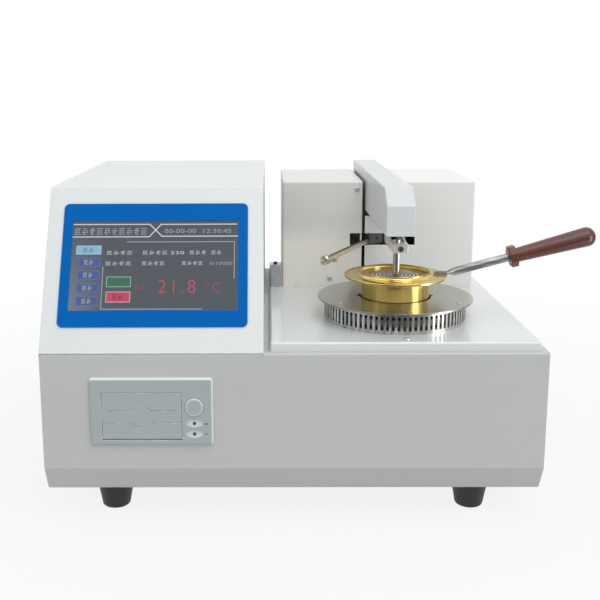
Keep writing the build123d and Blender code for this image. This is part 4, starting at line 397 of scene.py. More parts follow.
picture = key(4.3, 53.7, 27.5, 62.3, KEY_LIT, (190, 226, 244), 2, (120, 96, 130))
for low in (41.8, 29.4, 17.1, 4.7):
    picture += key(6.3, low, 27.0, low + 8.7, KEY_BLUE, (112, 128, 184), 2, KEY_WORD)
picture += key(33.5, 22.2, 56.2, 32.2, GREEN_KEY, GREEN_RIM, 0, GREEN_RIM)
picture += key(33.7, 7.7, 56.2, 18.0, RED_KEY, RED_RIM, 2, RED_WORD)
picture += word(1.8, 70.6, 73.0, 79.2, 10, PICTURE_GREY)
for x0, x1, cells in ((32.8, 57.7, 4), (66.0, 90.0, 4), (109.4, 125.6, 3), (129.4, 139.6, 2)):
    picture += word(x0, x1, 53.4, 56.8, cells, PICTURE_WHITE)
for x0, x1, cells in ((32.0, 57.0, 4), (65.7, 87.5, 4), (102.6, 122.6, 4)):
    picture += word(x0, x1, 43.0, 46.3, cells, PICTURE_WHITE)
picture += word(60.0, 71.2, 19.6, 23.4, 2, READING_RED)
title_rules = (
    (0.9, 82.7, 71.7, 82.7),
    (71.7, 82.7, 83.4, 70.9),
    (83.4, 70.9, 153.2, 70.9),
    (0.9, 70.4, 71.5, 70.4),
    (71.5, 70.4, 82.2, 82.6),
    (82.2, 82.6, 152.5, 82.7),
)
frame_rules = (
    (51.4, 65.4, 150.6, 65.4),
    (150.6, 65.4, 150.6, 30.3),
    (30.0, 41.1, 30.0, 1.2),
    (30.0, 1.2, 121.6, 1.2),
)
rules = [(*ends, 1.05, PICTURE_WHITE) for ends in title_rules]
rules += [(*ends, 0.8, PICTURE_RULE) for ends in frame_rules]
lit_shapes("screen_picture", picture, rules, 0.8)


def lit_text(name, body, left, low, tall, wide, colour, light=0.9, spread=1.0, thin=0.0):
    """Figures drawn with the plain font, laid on the glass: x and y of its outline scaled to the box."""
    curve = bpy.data.curves.new(name, "FONT")
    curve.body, curve.space_character, curve.offset, curve.resolution_u = body, spread, thin, 3
    pattern = bpy.data.objects.new(name + "_pattern", curve)
    bpy.context.scene.collection.objects.link(pattern)
    bpy.context.view_layer.update()
    mesh = bpy.data.meshes.new_from_object(pattern.evaluated_get(bpy.context.evaluated_depsgraph_get()))
    bpy.data.objects.remove(pattern)
    flat = np.zeros(len(mesh.vertices) * 3)
    mesh.vertices.foreach_get("co", flat)
    flat = flat.reshape(-1, 3)
    flat = (flat - flat.min(0)) / np.maximum(np.ptp(flat, axis=0), 1e-9)
    placed = on_screen(left + flat[:, 0] * wide, low + flat[:, 1] * tall, LIT_LIFT + 0.1)
    mesh.vertices.foreach_set("co", placed.ravel())
    mesh.update()
    piece = new_piece(name, mesh, lit_pixels(name + " light", light, colour))
    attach(piece, "cabinet")


lit_text("screen_reading", "21.8", 81.3, 16.6, 12.4, 34.0, READING_RED, 1.0, 1.25, -0.012)
lit_text("screen_unit", "°C", 125.0, 17.4, 9.4, 12.4, READING_RED, 0.8, 1.3, -0.014)
lit_text("screen_clock", "00-00-00  12:30:45", 85.5, 74.4, 4.2, 62.0, PICTURE_GREY, 0.8, 1.05)
lit_text("screen_limit", "230", 91.6, 53.6, 3.1, 12.6, PICTURE_WHITE, 0.8, 1.1)
lit_text("screen_method", "0/10000", 127.8, 43.2, 3.1, 21.0, PICTURE_GREY, 0.8, 1.05)


def screen_glass():
    """Lit display under glass: a grey glow that drifts bluish down the left side, and a smooth gloss."""
    material, tree, shader = new_material("lit screen", Emission_Strength=0.8, Specular_IOR_Level=0.12)
    shader.inputs["Base Color"].default_value = (0.02, 0.022, 0.025, 1.0)
    parts = add(tree, "SeparateXYZ", {"Vector": own_place(tree)})
    side = ramp(tree, parts.outputs["X"], *BLUE_FROM_X)
    low = ramp(tree, parts.outputs["Z"], *BLUE_FROM_Z)
    both = add(tree, "Math", {0: side, 1: low}, operation="MULTIPLY")
    glow = blend_colour(tree, both.outputs["Value"], paint(*GLASS_GREY), paint(*GLASS_BLUE))
    tree.links.new(glow, shader.inputs["Emission Color"])
    dust = use_group(tree, GRAIN)
    tree.links.new(ramp(tree, dust.outputs["Tone"], 0.0, 1.0, 0.16, 0.24), shader.inputs["Roughness"])
    return material


finish(screen_glass(), "touch_screen")

# ---------------------------------------------------------------- circuit boards
# Glass-fibre boards with green solder mask: one behind the display, one on the tray.
# Their tall parts are black; the mask is the only thing with colour.
MASK_GREEN, PART_BLACK = (22, 92, 58), (26, 26, 28)
TRACK_GAIN = np.array([1.8, 1.5, 1.5, 1.0])  # how much lighter the mask is over a track
board_low, board_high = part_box("main_board")
BOARD_FACE = board_low.z + 0.0018  # height just over the lower board's face


def board_material():
    """Solder mask over copper tracks: squares of a Voronoi grid show as a slightly lighter green.

    Above the lower board's face, up to the height of its tall parts, everything is black.
    """
    material, tree, shader = new_material("solder mask", Roughness=0.35)
    place = own_place(tree)
    cells = add(tree, "TexVoronoi", {"Vector": place, "Scale": 260.0}, distance="CHEBYCHEV")
    track = ramp(tree, cells.outputs["Distance"], 0.3, 0.36)
    green = np.array(paint(*MASK_GREEN))
    mask = blend_colour(tree, track, green.tolist(), (green * TRACK_GAIN).tolist())
    up = add(tree, "SeparateXYZ", {"Vector": place}).outputs["Z"]
    high = add(tree, "Math", {0: up, 1: BOARD_FACE}, operation="GREATER_THAN")
    inside = add(tree, "Math", {0: up, 1: board_high.z + 0.01}, operation="LESS_THAN")
    tall = add(tree, "Math", {0: high.outputs[0], 1: inside.outputs[0]}, operation="MULTIPLY")
    set_colour(tree, shader, tall.outputs[0], mask, paint(*PART_BLACK))
    bump = add(tree, "Bump", {"Height": track, "Distance": 0.00003, "Strength": 0.4})
    tree.links.new(bump.outputs["Normal"], shader.inputs["Normal"])
    return material


finish(board_material(), "main_board", "display_board")

# ---------------------------------------------------------------- heater
# Under the disc: a hard insulating ring darkened by heat, the heating element in its steel shell,
# and a machined aluminium hot plate with the cup's seat turned into it.
BOARD_BROWN, BOARD_WORN = (52, 48, 45), (110, 104, 96)
PLATE_BRIGHT, PLATE_DULL = (176, 176, 174), (120, 120, 118)
ELEMENT_BRIGHT, ELEMENT_DULL = (150, 142, 132), (104, 96, 88)
finish(
    coated("insulating board", BOARD_BROWN, BOARD_WORN, 0.85, fine=500.0, depth=0.00008, tone=0.08),
    "insulation_ring",
)


def make_turning():
    """Fine rings about an axis: noise that depends only on the distance from it."""
    tree, takes, gives = new_group(
        "turning marks",
        [
            ("Centre", "NodeSocketVector", (0.0, 0.0, 0.0)),
            ("Keep", "NodeSocketVector", (1.0, 1.0, 0.0)),
            ("Rings", "NodeSocketFloat", 2500.0),
        ],
        [("Height", "NodeSocketFloat"), ("Tone", "NodeSocketFloat")],
    )
    place = own_place(tree)
    centred = add(tree, "VectorMath", {0: place, 1: takes.outputs["Centre"]}, operation="SUBTRACT")
    across = add(tree, "VectorMath", {0: centred.outputs[0], 1: takes.outputs["Keep"]}, operation="MULTIPLY")
    away = add(tree, "VectorMath", {0: across.outputs[0]}, operation="LENGTH")
    feeds = {"W": away.outputs["Value"], "Scale": takes.outputs["Rings"], "Detail": 3.0}
    rings = add(tree, "TexNoise", feeds, noise_dimensions="1D")
    tree.links.new(rings.outputs["Fac"], gives.inputs["Height"])
    tree.links.new(ramp(tree, rings.outputs["Fac"], 0.3, 0.7), gives.inputs["Tone"])
    return tree


TURNING = make_turning()
TURNED_EDGE = 0.0003


def turned(name, colour, dull, rough, centre, keep=(1.0, 1.0, 0.0), rings=2500.0, depth=0.00001):
    """Lathe-turned metal: tone, gloss and relief follow fine rings about the piece's axis."""
    material, tree, shader = new_material(name, Metallic=1.0)
    marks = use_group(tree, TURNING, Centre=centre, Keep=keep, Rings=rings)
    stain = use_group(tree, GRAIN, Broad=45.0)
    tone = blend_colour(tree, marks.outputs["Tone"], paint(*dull), paint(*colour))
    set_colour(tree, shader, stain.outputs["Tone"], tone, paint(*colour))
    gloss = ramp(tree, marks.outputs["Tone"], 0.0, 1.0, rough + 0.05, rough - 0.03)
    tree.links.new(gloss, shader.inputs["Roughness"])
    relief(tree, shader, marks.outputs["Height"], depth, 0.4, TURNED_EDGE)
    return material


def centre_of(name):
    """Middle of a CAD node's box."""
    low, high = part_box(name)
    return (low + high) / 2


CUP_AXIS = centre_of("hot_plate")
finish(turned("hot plate aluminium", PLATE_BRIGHT, PLATE_DULL, 0.34, CUP_AXIS), "hot_plate")
finish(
    turned("element shell", ELEMENT_BRIGHT, ELEMENT_DULL, 0.42, CUP_AXIS, rings=900.0),
    "heating_element",
)

# ---------------------------------------------------------------- round cover and slotted guard
# Satin stainless: a 1.5 mm disc cut out round the cup, held by three screws on its spacers,
# and a rolled strip with punched slots standing under its edge.
STEEL_SATIN, STEEL_DARK = (190, 188, 181), (180, 178, 170)
STRIP_BRIGHT, STRIP_DARK = (240, 239, 235), (156, 155, 151)
finish(
    streaked("satin disc", STEEL_SATIN, STEEL_DARK, 0.26, ALONG_X, 900.0, 0.000001, spread=0.02),
    "round_cover",
)
finish(
    streaked("guard strip", STRIP_BRIGHT, STRIP_DARK, 0.2, (1.0, 1.0, 0.08), 240.0, edge=0.0002),
    "guard_ring",
)

# ---------------------------------------------------------------- test cup
# Turned brass cup with a wide flange just under its mouth. The floor keeps the lathe's coarse
# rings, the mouth is bevelled, a groove marks the filling level, and the outside is polished.
cup_low, cup_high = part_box("test_cup")
CUP_X, CUP_Y = centre_of("test_cup").xy
CUP_BASE, RIM_Z = cup_low.z, cup_high.z
BORE_R, BODY_R, FLANGE_R = 0.03175, 0.0341, (cup_high.x - cup_low.x) / 2
FLANGE_Z, FLANGE_T = RIM_Z - 0.0036, 0.0024  # top of the flange, and its thickness
MARK_Z, MARK_CUT = RIM_Z - 0.0095, 0.0004  # filling mark, and the depth of its groove
FLOOR_Z = RIM_Z - 0.0335
BRASS, BRASS_DULL = (230, 206, 126), (196, 168, 90)
FLOOR_RINGS, RING_DEPTH, RINGED_R = 9, 0.00045, 0.0300  # lathe rings in the floor, out to that radius


def revolve_mesh(name, profile, centre, steps=192):
    """Surface of revolution: (r, z) turned about the vertical axis at centre, P = C + (r cos a, r sin a, z).

    The first and last profile points lie on the axis, where the ring closes to one point.
    """
    r, z = np.array(profile, float).T
    angle = np.arange(steps) * 2 * math.pi / steps
    ring_r, ring_z = r[1:-1], z[1:-1]
    points = np.empty((len(ring_r), steps, 3))
    points[:, :, 0] = centre[0] + np.outer(ring_r, np.cos(angle))
    points[:, :, 1] = centre[1] + np.outer(ring_r, np.sin(angle))
    points[:, :, 2] = ring_z[:, None]
    number = np.arange(points.shape[0] * steps).reshape(-1, steps)
    ahead = np.roll(number, -1, axis=1)
    quads = np.stack([number[:-1], ahead[:-1], ahead[1:], number[1:]], axis=-1).reshape(-1, 4)
    poles = np.array([[centre[0], centre[1], z[0]], [centre[0], centre[1], z[-1]]])
    first, last = number.size, number.size + 1
    cap_low = np.stack([np.full(steps, first), ahead[0], number[0]], axis=-1)
    cap_high = np.stack([np.full(steps, last), number[-1], ahead[-1]], axis=-1)
    mesh = bpy.data.meshes.new(name)
    faces = quads.tolist() + cap_low.tolist() + cap_high.tolist()
    mesh.from_pydata(np.concatenate([points.reshape(-1, 3), poles]).tolist(), [], faces)
    mesh.polygons.foreach_set("use_smooth", np.ones(len(faces), bool))
    return mesh


def rounded(corners, radius):
    """Profile with its inner corners cut to arcs: each is swapped for five points of the quadratic curve

    (1-t)^2 a + 2t(1-t) p + t^2 b, where a and b lie at the radius, or at half a side, from the corner p.
    """
    p = np.array(corners, float)
    before, after = p[:-2] - p[1:-1], p[2:] - p[1:-1]
    reach_in, reach_out = np.linalg.norm(before, axis=1), np.linalg.norm(after, axis=1)
    a = p[1:-1] + before / reach_in[:, None] * np.minimum(radius, 0.45 * reach_in)[:, None]
    b = p[1:-1] + after / reach_out[:, None] * np.minimum(radius, 0.45 * reach_out)[:, None]
    t = np.linspace(0, 1, 5)[None, :, None]
    arcs = (1 - t) ** 2 * a[:, None] + 2 * t * (1 - t) * p[1:-1][:, None] + t**2 * b[:, None]
    return np.concatenate([p[:1], arcs.reshape(-1, 2), p[-1:]])


def cup_profile():
    """Outline from the middle of the underside, up the outside, over the rim and down to the floor's middle.

    The floor is z0 - depth * (0.5 - 0.5 cos(2 pi n r / R)) for n rings out to the radius R.
    """
    outline = [
        (0.0, CUP_BASE),
        (BODY_R - 0.0010, CUP_BASE),
        (BODY_R, CUP_BASE + 0.0010),
        (BODY_R, FLANGE_Z - FLANGE_T - 0.0010),
        (BODY_R + 0.0010, FLANGE_Z - FLANGE_T),
        (FLANGE_R, FLANGE_Z - FLANGE_T),
        (FLANGE_R, FLANGE_Z),
        (BODY_R + 0.0036, FLANGE_Z),
        (BODY_R + 0.0012, FLANGE_Z + 0.0007),
        (BODY_R, FLANGE_Z + 0.0022),
        (BODY_R, RIM_Z),
        (BORE_R + 0.00175, RIM_Z),
        (BORE_R, RIM_Z - 0.0022),
        (BORE_R, MARK_Z + MARK_CUT),
        (BORE_R + MARK_CUT, MARK_Z),
        (BORE_R, MARK_Z - MARK_CUT),
        (BORE_R, FLOOR_Z + 0.0015),
        (BORE_R - 0.0015, FLOOR_Z),
        (RINGED_R, FLOOR_Z),
    ]
    wall = rounded(outline, 0.0007)[:-1]
    r = np.linspace(RINGED_R, 0.0, 109)
    floor = FLOOR_Z - RING_DEPTH * (0.5 - 0.5 * np.cos(2 * math.pi * FLOOR_RINGS * r / RINGED_R))
    return np.concatenate([wall, np.stack([r, floor], axis=1)])


cup_mesh = revolve_mesh("brass_cup", cup_profile(), (CUP_X, CUP_Y))
polished_brass = turned("polished brass", BRASS, BRASS_DULL, 0.14, CUP_AXIS, rings=1600.0, depth=0.000012)
cup = new_piece("brass_cup", cup_mesh, polished_brass)
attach(cup, "cup")
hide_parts("test_cup")

# ---------------------------------------------------------------- oil sample
# Hot lubricating oil has risen over the filling mark, and its surface carries standing ripples round
# the probe. Dark oil under a smooth skin shows them as light and dark rings: the light is a painted
# highlight on the crests, and the calm rim is painted with the brass wall's reflection.
OIL_LEVEL, OIL_SKIN, OIL_R = RIM_Z - 0.0045, 0.002, BORE_R - 0.00005
RIPPLE, RIPPLE_PITCH, RIPPLE_REACH = 0.0002, 0.0037, 0.0250
OIL_DARK, OIL_CREST_HIGHLIGHT, OIL_WALL_REFLECTION = (50, 38, 28), (240, 232, 216), (116, 92, 46)


def oil_profile():
    """Underside, then the surface inwards: z = level + a cos(2 pi r / pitch), a nought beyond the ripples."""
    r = np.concatenate([np.linspace(OIL_R, 0.0002, 200), [0.0]])
    wave = RIPPLE * np.cos(2 * math.pi * r / RIPPLE_PITCH) * np.clip((RIPPLE_REACH - r) / 0.001, 0.0, 1.0)
    under = [(0.0, OIL_LEVEL - OIL_SKIN), (OIL_R, OIL_LEVEL - OIL_SKIN)]
    return np.concatenate([under, np.stack([r, OIL_LEVEL + wave], axis=1)])


def oil_material():
    """Dark liquid: the crests of the ripples get a painted highlight, and the calm rim a painted reflection
    of the brass wall.

    Crest highlight: cos(2 pi r / pitch) over a threshold, where r is the distance from the cup's axis.
    """
    material, tree, shader = new_material("oil sample", Roughness=0.3, Coat_Weight=0.2, Coat_Roughness=0.05)
    place = own_place(tree)
    inward = add(tree, "VectorMath", {0: place, 1: (CUP_X, CUP_Y, 0.0)}, operation="SUBTRACT")
    flat = add(tree, "VectorMath", {0: inward.outputs[0], 1: (1.0, 1.0, 0.0)}, operation="MULTIPLY")
    radius = add(tree, "VectorMath", {0: flat.outputs[0]}, operation="LENGTH").outputs["Value"]
    turn = add(tree, "Math", {0: radius, 1: 2 * math.pi / RIPPLE_PITCH}, operation="MULTIPLY")
    wave = add(tree, "Math", {0: turn.outputs[0]}, operation="COSINE")
    crest_highlight = ramp(tree, wave.outputs[0], 0.1, 0.7)
    patchy = ramp(tree, use_group(tree, GRAIN, Broad=120.0).outputs["Tone"], 0.0, 1.0, 0.5, 1.0)
    broken = add(tree, "Math", {0: crest_highlight, 1: patchy}, operation="MULTIPLY")
    rings = blend_colour(tree, broken.outputs[0], paint(*OIL_DARK), paint(*OIL_CREST_HIGHLIGHT))
    calm = ramp(tree, radius, RIPPLE_REACH - 0.0005, RIPPLE_REACH + 0.0005)
    set_colour(tree, shader, calm, rings, paint(*OIL_WALL_REFLECTION))
    return material


oil_mesh = revolve_mesh("oil_sample", oil_profile(), (CUP_X, CUP_Y))
oil = new_piece("oil_sample", oil_mesh, oil_material())
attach(oil, "cup")

# ---------------------------------------------------------------- cup handle
# Steel rod flattened at one end and riveted on the flange; its tang is moulded into a
# brown phenolic grip with an octagonal collar, which has a wet-looking mottled gloss.
GRIP_BROWN, GRIP_WORN = (96, 50, 34), (150, 98, 80)
DRAWN_BRIGHT, DRAWN_DULL = (176, 175, 173), (96, 95, 93)
finish(
    coated("phenolic grip", GRIP_BROWN, GRIP_WORN, 0.24, fine=240.0, depth=0.00005, tone=0.2),
    "handle_grip",
)
finish(
    streaked("drawn steel", DRAWN_BRIGHT, DRAWN_DULL, 0.3, (0.05, 1.0, 1.0), scale=260.0),
    "handle_shank",
    "handle_rivets",
)

# ---------------------------------------------------------------- head housing
# Two folded covers stand over the inner frame, with an open seam between them for the arm and a
# slot across both for the igniter. The left one's coat is a darker white than the right one's, painted
# shade from the console beside it, and pales toward the deck, painted light thrown up by it.
HEAD_LEFT_SHADED_WHITE, HEAD_RIGHT_WHITE = (215, 217, 212), (232, 233, 230)
HEAD_EDGE_HIGHLIGHT, HEAD_FOOT_LIGHT = (240, 242, 241), (244, 241, 233)
HEAD_FOOT_SPAN = (0.250, 0.212)  # heights between which the coat pales toward the deck


def paler_below(material, colour, span):
    """Blends a coat into a second colour from one height down to another, then returns the material."""
    tree = material.node_tree
    shader = tree.nodes["Principled BSDF"]
    coat = shader.inputs["Base Color"].links[0].from_socket
    height = add(tree, "SeparateXYZ", {"Vector": own_place(tree)}).outputs["Z"]
    feeds = {"Value": height, "From Min": span[0], "From Max": span[1]}
    down = add(tree, "MapRange", feeds, interpolation_type="SMOOTHSTEP")
    set_colour(tree, shader, down.outputs["Result"], coat, paint(*colour))
    return material


head_grain = {"fine": 1300.0, "depth": 0.000003, "tone": 0.03}
# Darker white as painted shade, paler below as painted light, lighter edges as painted highlight.
left_coat = coated("left head coat", HEAD_LEFT_SHADED_WHITE, HEAD_EDGE_HIGHLIGHT, 0.3, **head_grain)
finish(paler_below(left_coat, HEAD_FOOT_LIGHT, HEAD_FOOT_SPAN), "head_cover_left")
head_grain["tone"] = 0.02
finish(coated("right head coat", HEAD_RIGHT_WHITE, HEAD_EDGE_HIGHLIGHT, 0.3, **head_grain), "head_cover_right")

# ---------------------------------------------------------------- lift drive
# Steel sector and pinion, bronze bushes and a ground steel shaft, driven by a black geared motor.
# The igniter's motor has the same paint.
GEAR_BRIGHT, GEAR_DULL = (168, 168, 170), (128, 128, 130)
MOTOR_BLACK, MOTOR_WORN = (34, 34, 37), (92, 92, 94)
BRONZE, BRONZE_WORN = (150, 108, 62), (190, 150, 96)
finish(
    streaked("ground gear steel", GEAR_BRIGHT, GEAR_DULL, 0.32, (1.0, 1.0, 0.2), scale=300.0),
    "lift_gear",
    "lift_pinion",
    "pivot_shaft",
    "igniter_shaft",
)
finish(
    coated("motor paint", MOTOR_BLACK, MOTOR_WORN, 0.4, depth=0.00004, tone=0.1),
    "lift_motor",
    "igniter_motor",
)
finish(
    coated("sintered bronze", BRONZE, BRONZE_WORN, 0.42, fine=1500.0, depth=0.00005, Metallic=0.9),
    "pivot_bushes",
)

# ---------------------------------------------------------------- lift arm
# Folded white cover over a bar frame; below its nose hang a nickel-plated yoke and the
# stainless temperature probe, locked by a steel socket screw.
# The arm's white is darker than the console's, painted shade.
ARM_SHADED_WHITE = (206, 209, 210)
MILLED_BRIGHT, MILLED_DULL = (188, 189, 190), (158, 158, 158)
YOKE_NICKEL, YOKE_DULL = (238, 234, 226), (222, 217, 207)
PROBE_BRIGHT, PROBE_DULL = (222, 221, 219), (176, 175, 172)
SOCKET_BRIGHT, SOCKET_DULL = (150, 150, 150), (84, 84, 86)
finish(coated("arm powder coat", ARM_SHADED_WHITE, SHELL_EDGE_HIGHLIGHT, 0.3, fine=1300.0, tone=0.015), "arm_cover")
finish(
    streaked("milled aluminium", MILLED_BRIGHT, MILLED_DULL, 0.35, ALONG_Y, scale=300.0),
    "arm_frame",
)
finish(
    streaked("nickel plate", YOKE_NICKEL, YOKE_DULL, 0.3, (1.0, 1.0, 0.2), scale=160.0, metal=0.35),
    "probe_yoke",
)
finish(
    streaked("probe steel", PROBE_BRIGHT, PROBE_DULL, 0.22, (1.0, 1.0, 0.05), scale=500.0),
    "temperature_probe",
)
finish(streaked("socket screw", SOCKET_BRIGHT, SOCKET_DULL, 0.3, EVEN, scale=900.0), "clamp_screw")

# ---------------------------------------------------------------- igniter
# Dark anodised hub on its motor shaft, a stainless tube for the test flame's gas with a brass
# nut under it, and a forked nickel head that the small flame burns from. The gas valve's block
# behind the console is brushed aluminium.
OXIDE_BLACK, OXIDE_WORN = (40, 40, 43), (110, 110, 112)
VALVE_BRIGHT, VALVE_DULL = (206, 208, 210), (184, 186, 188)
TUBE_BRIGHT, TUBE_DULL, TUBE_EDGE_SHADE = (232, 220, 200), (214, 198, 174), (84, 74, 58)
TIP_NICKEL, TIP_DULL = (238, 235, 226), (196, 190, 174)
NUT_BRASS, NUT_DULL = (232, 224, 190), (206, 192, 146)
finish(
    coated("black oxide", OXIDE_BLACK, OXIDE_WORN, 0.35, fine=1500.0, depth=0.00002, Metallic=0.6),
    "igniter_hub",
    "valve_knob",
)
finish(
    streaked("valve aluminium", VALVE_BRIGHT, VALVE_DULL, 0.3, ALONG_Y, 300.0, metal=0.8),
    "valve_block",
)


def tube_material():
    """Stainless tube with painted shade along its back and underside, where the normal is steep."""
    material = streaked("tube steel", TUBE_BRIGHT, TUBE_DULL, 0.4, (0.15, 0.15, 1.0), scale=400.0)
    tree = material.node_tree
    shader = tree.nodes["Principled BSDF"]
    unshaded = shader.inputs["Base Color"].links[0].from_socket
    face = add(tree, "NewGeometry").outputs["Normal"]
    along = add(tree, "VectorMath", {0: face, 1: (0.0, 0.28, 0.96)}, operation="DOT_PRODUCT")
    upright = add(tree, "Math", {0: along.outputs["Value"]}, operation="ABSOLUTE")
    tint = ramp(tree, upright.outputs[0], 0.66, 0.8)
    set_colour(tree, shader, tint, unshaded, paint(*TUBE_EDGE_SHADE))
    return material


finish(tube_material(), "igniter_tube")
finish(streaked("head nickel", TIP_NICKEL, TIP_DULL, 0.26, EVEN, scale=300.0), "igniter_head")
finish(streaked("nut brass", NUT_BRASS, NUT_DULL, 0.3, EVEN, scale=500.0), "tube_nut")

# ---------------------------------------------------------------- panel printer
# Thermal printer in blue-grey moulded plastic: case with a bevelled rim, drop-down paper door
# with two grooves and a thumb disc, round feed button, and two lamps in shallow wells.
# The rim and a ring round the feed button are lighter, a painted highlight.
PRINTER_GREY, PRINTER_HIGHLIGHT = (164, 173, 174), (222, 229, 230)
CASE_BLACK, CASE_WORN = (28, 28, 30), (66, 66, 68)
PLATEN_BLACK, PLATEN_WORN = (38, 38, 40), (70, 70, 70)
INK, INK_WORN = (92, 98, 100), (110, 116, 118)
LAMP_X, LAMP_Z = centre_of("status_lamps").xz
LAMP_HALF, WELL_WIDE, WELL_TALL = 0.00505, 0.0078, 0.0036  # lamps stand at LAMP_Z +- LAMP_HALF
BUTTON_Z, BUTTON_RING_R = centre_of("feed_button").z, 0.0073


def printer_moulding():
    """Moulded plastic with a painted highlight on its rim and on a ring round the button, and wells round the
    lamps in the same pale colour.

    Rim highlight: the normal turns up or right. Well: ((x - x0) / a)^2 + ((|z - z0| - h) / b)^2 under 1.
    Ring highlight: the distance from the button's axis.
    """
    material = coated("printer plastic", PRINTER_GREY, PRINTER_HIGHLIGHT, 0.38, fine=1100.0, tone=0.012)
    tree = material.node_tree
    shader = tree.nodes["Principled BSDF"]
    body = shader.inputs["Base Color"].links[0].from_socket
    turn = add(tree, "SeparateXYZ", {"Vector": add(tree, "NewGeometry").outputs["Normal"]})
    outward = add(tree, "Math", {0: turn.outputs["X"], 1: turn.outputs["Z"]}, operation="MAXIMUM")
    rim = ramp(tree, outward.outputs[0], 0.2, 0.6)
    place = add(tree, "SeparateXYZ", {"Vector": own_place(tree)})
    across = add(tree, "Math", {0: place.outputs["X"], 1: LAMP_X}, operation="SUBTRACT")
    up = add(tree, "Math", {0: place.outputs["Z"], 1: LAMP_Z}, operation="SUBTRACT")
    folded = add(tree, "Math", {0: up.outputs[0]}, operation="ABSOLUTE")
    height = add(tree, "Math", {0: folded.outputs[0], 1: LAMP_HALF}, operation="SUBTRACT")
    oval = add(tree, "CombineXYZ", {"X": across.outputs[0], "Z": height.outputs[0]})
    shrink = (1 / WELL_WIDE, 0.0, 1 / WELL_TALL)
    scaled = add(tree, "VectorMath", {0: oval.outputs[0], 1: shrink}, operation="MULTIPLY")
    reach = add(tree, "VectorMath", {0: scaled.outputs[0]}, operation="LENGTH")
    well = ramp(tree, reach.outputs["Value"], 1.05, 0.75, 0.0, 0.72)
    level = add(tree, "Math", {0: place.outputs["Z"], 1: BUTTON_Z}, operation="SUBTRACT")
    spoke = add(tree, "CombineXYZ", {"X": across.outputs[0], "Z": level.outputs[0]})
    radius = add(tree, "VectorMath", {0: spoke.outputs[0]}, operation="LENGTH")
    off = add(tree, "Math", {0: radius.outputs["Value"], 1: BUTTON_RING_R}, operation="SUBTRACT")
    away = add(tree, "Math", {0: off.outputs[0]}, operation="ABSOLUTE")
    ring = ramp(tree, away.outputs[0], 0.0007, 0.0002, 0.0, 0.6)
    either = add(tree, "Math", {0: well, 1: ring}, operation="MAXIMUM")
    pale = add(tree, "Math", {0: rim, 1: either.outputs[0]}, operation="MAXIMUM")
    set_colour(tree, shader, pale.outputs[0], body, paint(*PRINTER_HIGHLIGHT))
    return material


printer_plastic = printer_moulding()
finish(printer_plastic, "printer_case", "printer_door", "feed_button")


LENS_UPPER, LENS_LOWER, LENS_SHADE = (70, 62, 62), (74, 96, 60), (36, 42, 36)


def lamp_material():
    """Tinted lens: two colours told apart by height, each with a darker mottle."""
    material, tree, shader = new_material("lamp lenses", Roughness=0.15, Coat_Weight=0.5)
    height = add(tree, "SeparateXYZ", {"Vector": own_place(tree)}).outputs["Z"]
    upper = add(tree, "Math", {0: height, 1: LAMP_Z}, operation="GREATER_THAN")
    tint = blend_colour(tree, upper.outputs[0], paint(*LENS_LOWER), paint(*LENS_UPPER))
    mottle = use_group(tree, GRAIN, Broad=700.0)
    set_colour(tree, shader, mottle.outputs["Tone"], tint, paint(*LENS_SHADE))
    return material


finish(lamp_material(), "status_lamps")
case_black = coated("black plastic", CASE_BLACK, CASE_WORN, 0.42, fine=1000.0, depth=0.00005, tone=0.1)
finish(case_black, "print_head")
finish(coated("platen rubber", PLATEN_BLACK, PLATEN_WORN, 0.6, fine=1200.0, depth=0.00004), "platen_roller")


ROLL_AXIS = centre_of("paper_roll")
PAPER_DULL, PAPER_WHITE = (216, 213, 204), (240, 239, 234)


def paper_material():
    """Thermal paper: smooth round its outside, with the edges of its turns as rings on both ends."""
    material, tree, shader = new_material("thermal paper", Roughness=0.7)
    marks = use_group(tree, TURNING, Centre=ROLL_AXIS, Keep=(0.0, 1.0, 1.0), Rings=4500.0)
    set_colour(tree, shader, marks.outputs["Tone"], paint(*PAPER_DULL), paint(*PAPER_WHITE))
    bump = add(tree, "Bump", {"Height": marks.outputs["Height"], "Distance": 0.00005, "Strength": 0.5})
    tree.links.new(bump.outputs["Normal"], shader.inputs["Normal"])
    return material


finish(paper_material(), "paper_roll")


# Small marks are printed beside the lamps: (x0, z0, x1, z1) in mm, just in front of the case.
MARKS_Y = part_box("printer_case")[0].y - 0.00005
MARKS = np.array(
    [
        (-80.7, 96.0, -79.3, 97.5),
        (-78.8, 96.0, -77.4, 97.5),
        (-80.6, 86.2, -78.6, 86.9),
        (-78.9, 86.9, -78.0, 87.9),
    ]
)
x, z = MARKS[:, [0, 2, 2, 0]] / 1000, MARKS[:, [1, 1, 3, 3]] / 1000
points = np.stack([x, np.full_like(x, MARKS_Y), z], axis=-1).reshape(-1, 3)
marks_mesh = bpy.data.meshes.new("printer_marks")
marks_mesh.from_pydata(points.tolist(), [], np.arange(len(points)).reshape(-1, 4).tolist())
ink = coated("printed ink", INK, INK_WORN, 0.5, fine=3000.0, depth=0.000002, tone=0.1)
printer_marks = new_piece("printer_marks", marks_mesh, ink)
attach(printer_marks, "cabinet")

# ---------------------------------------------------------------- rear services
# Black plastic fan, mains inlet and rocker switch, and a nickel-plated spigot for the gas hose,
# all fixed to the rear panel.
finish(case_black, "fan_frame", "mains_inlet", "switch_case", "fan_rotor", "switch_rocker")
SPIGOT_AXIS, SPIGOT_BRIGHT, SPIGOT_DULL = centre_of("gas_spigot"), (206, 204, 198), (150, 148, 142)
finish(
    turned("spigot nickel", SPIGOT_BRIGHT, SPIGOT_DULL, 0.22, SPIGOT_AXIS, (1.0, 0.0, 1.0)),
    "gas_spigot",
)

# ---------------------------------------------------------------- stage, light and camera
# A pale floor that fades to white, a large soft box above and in front, weaker ones overhead and
# beside the camera, and curved grey cards round the cup that only glossy rays see.
scene = bpy.context.scene
scene.view_settings.view_transform = "Standard"


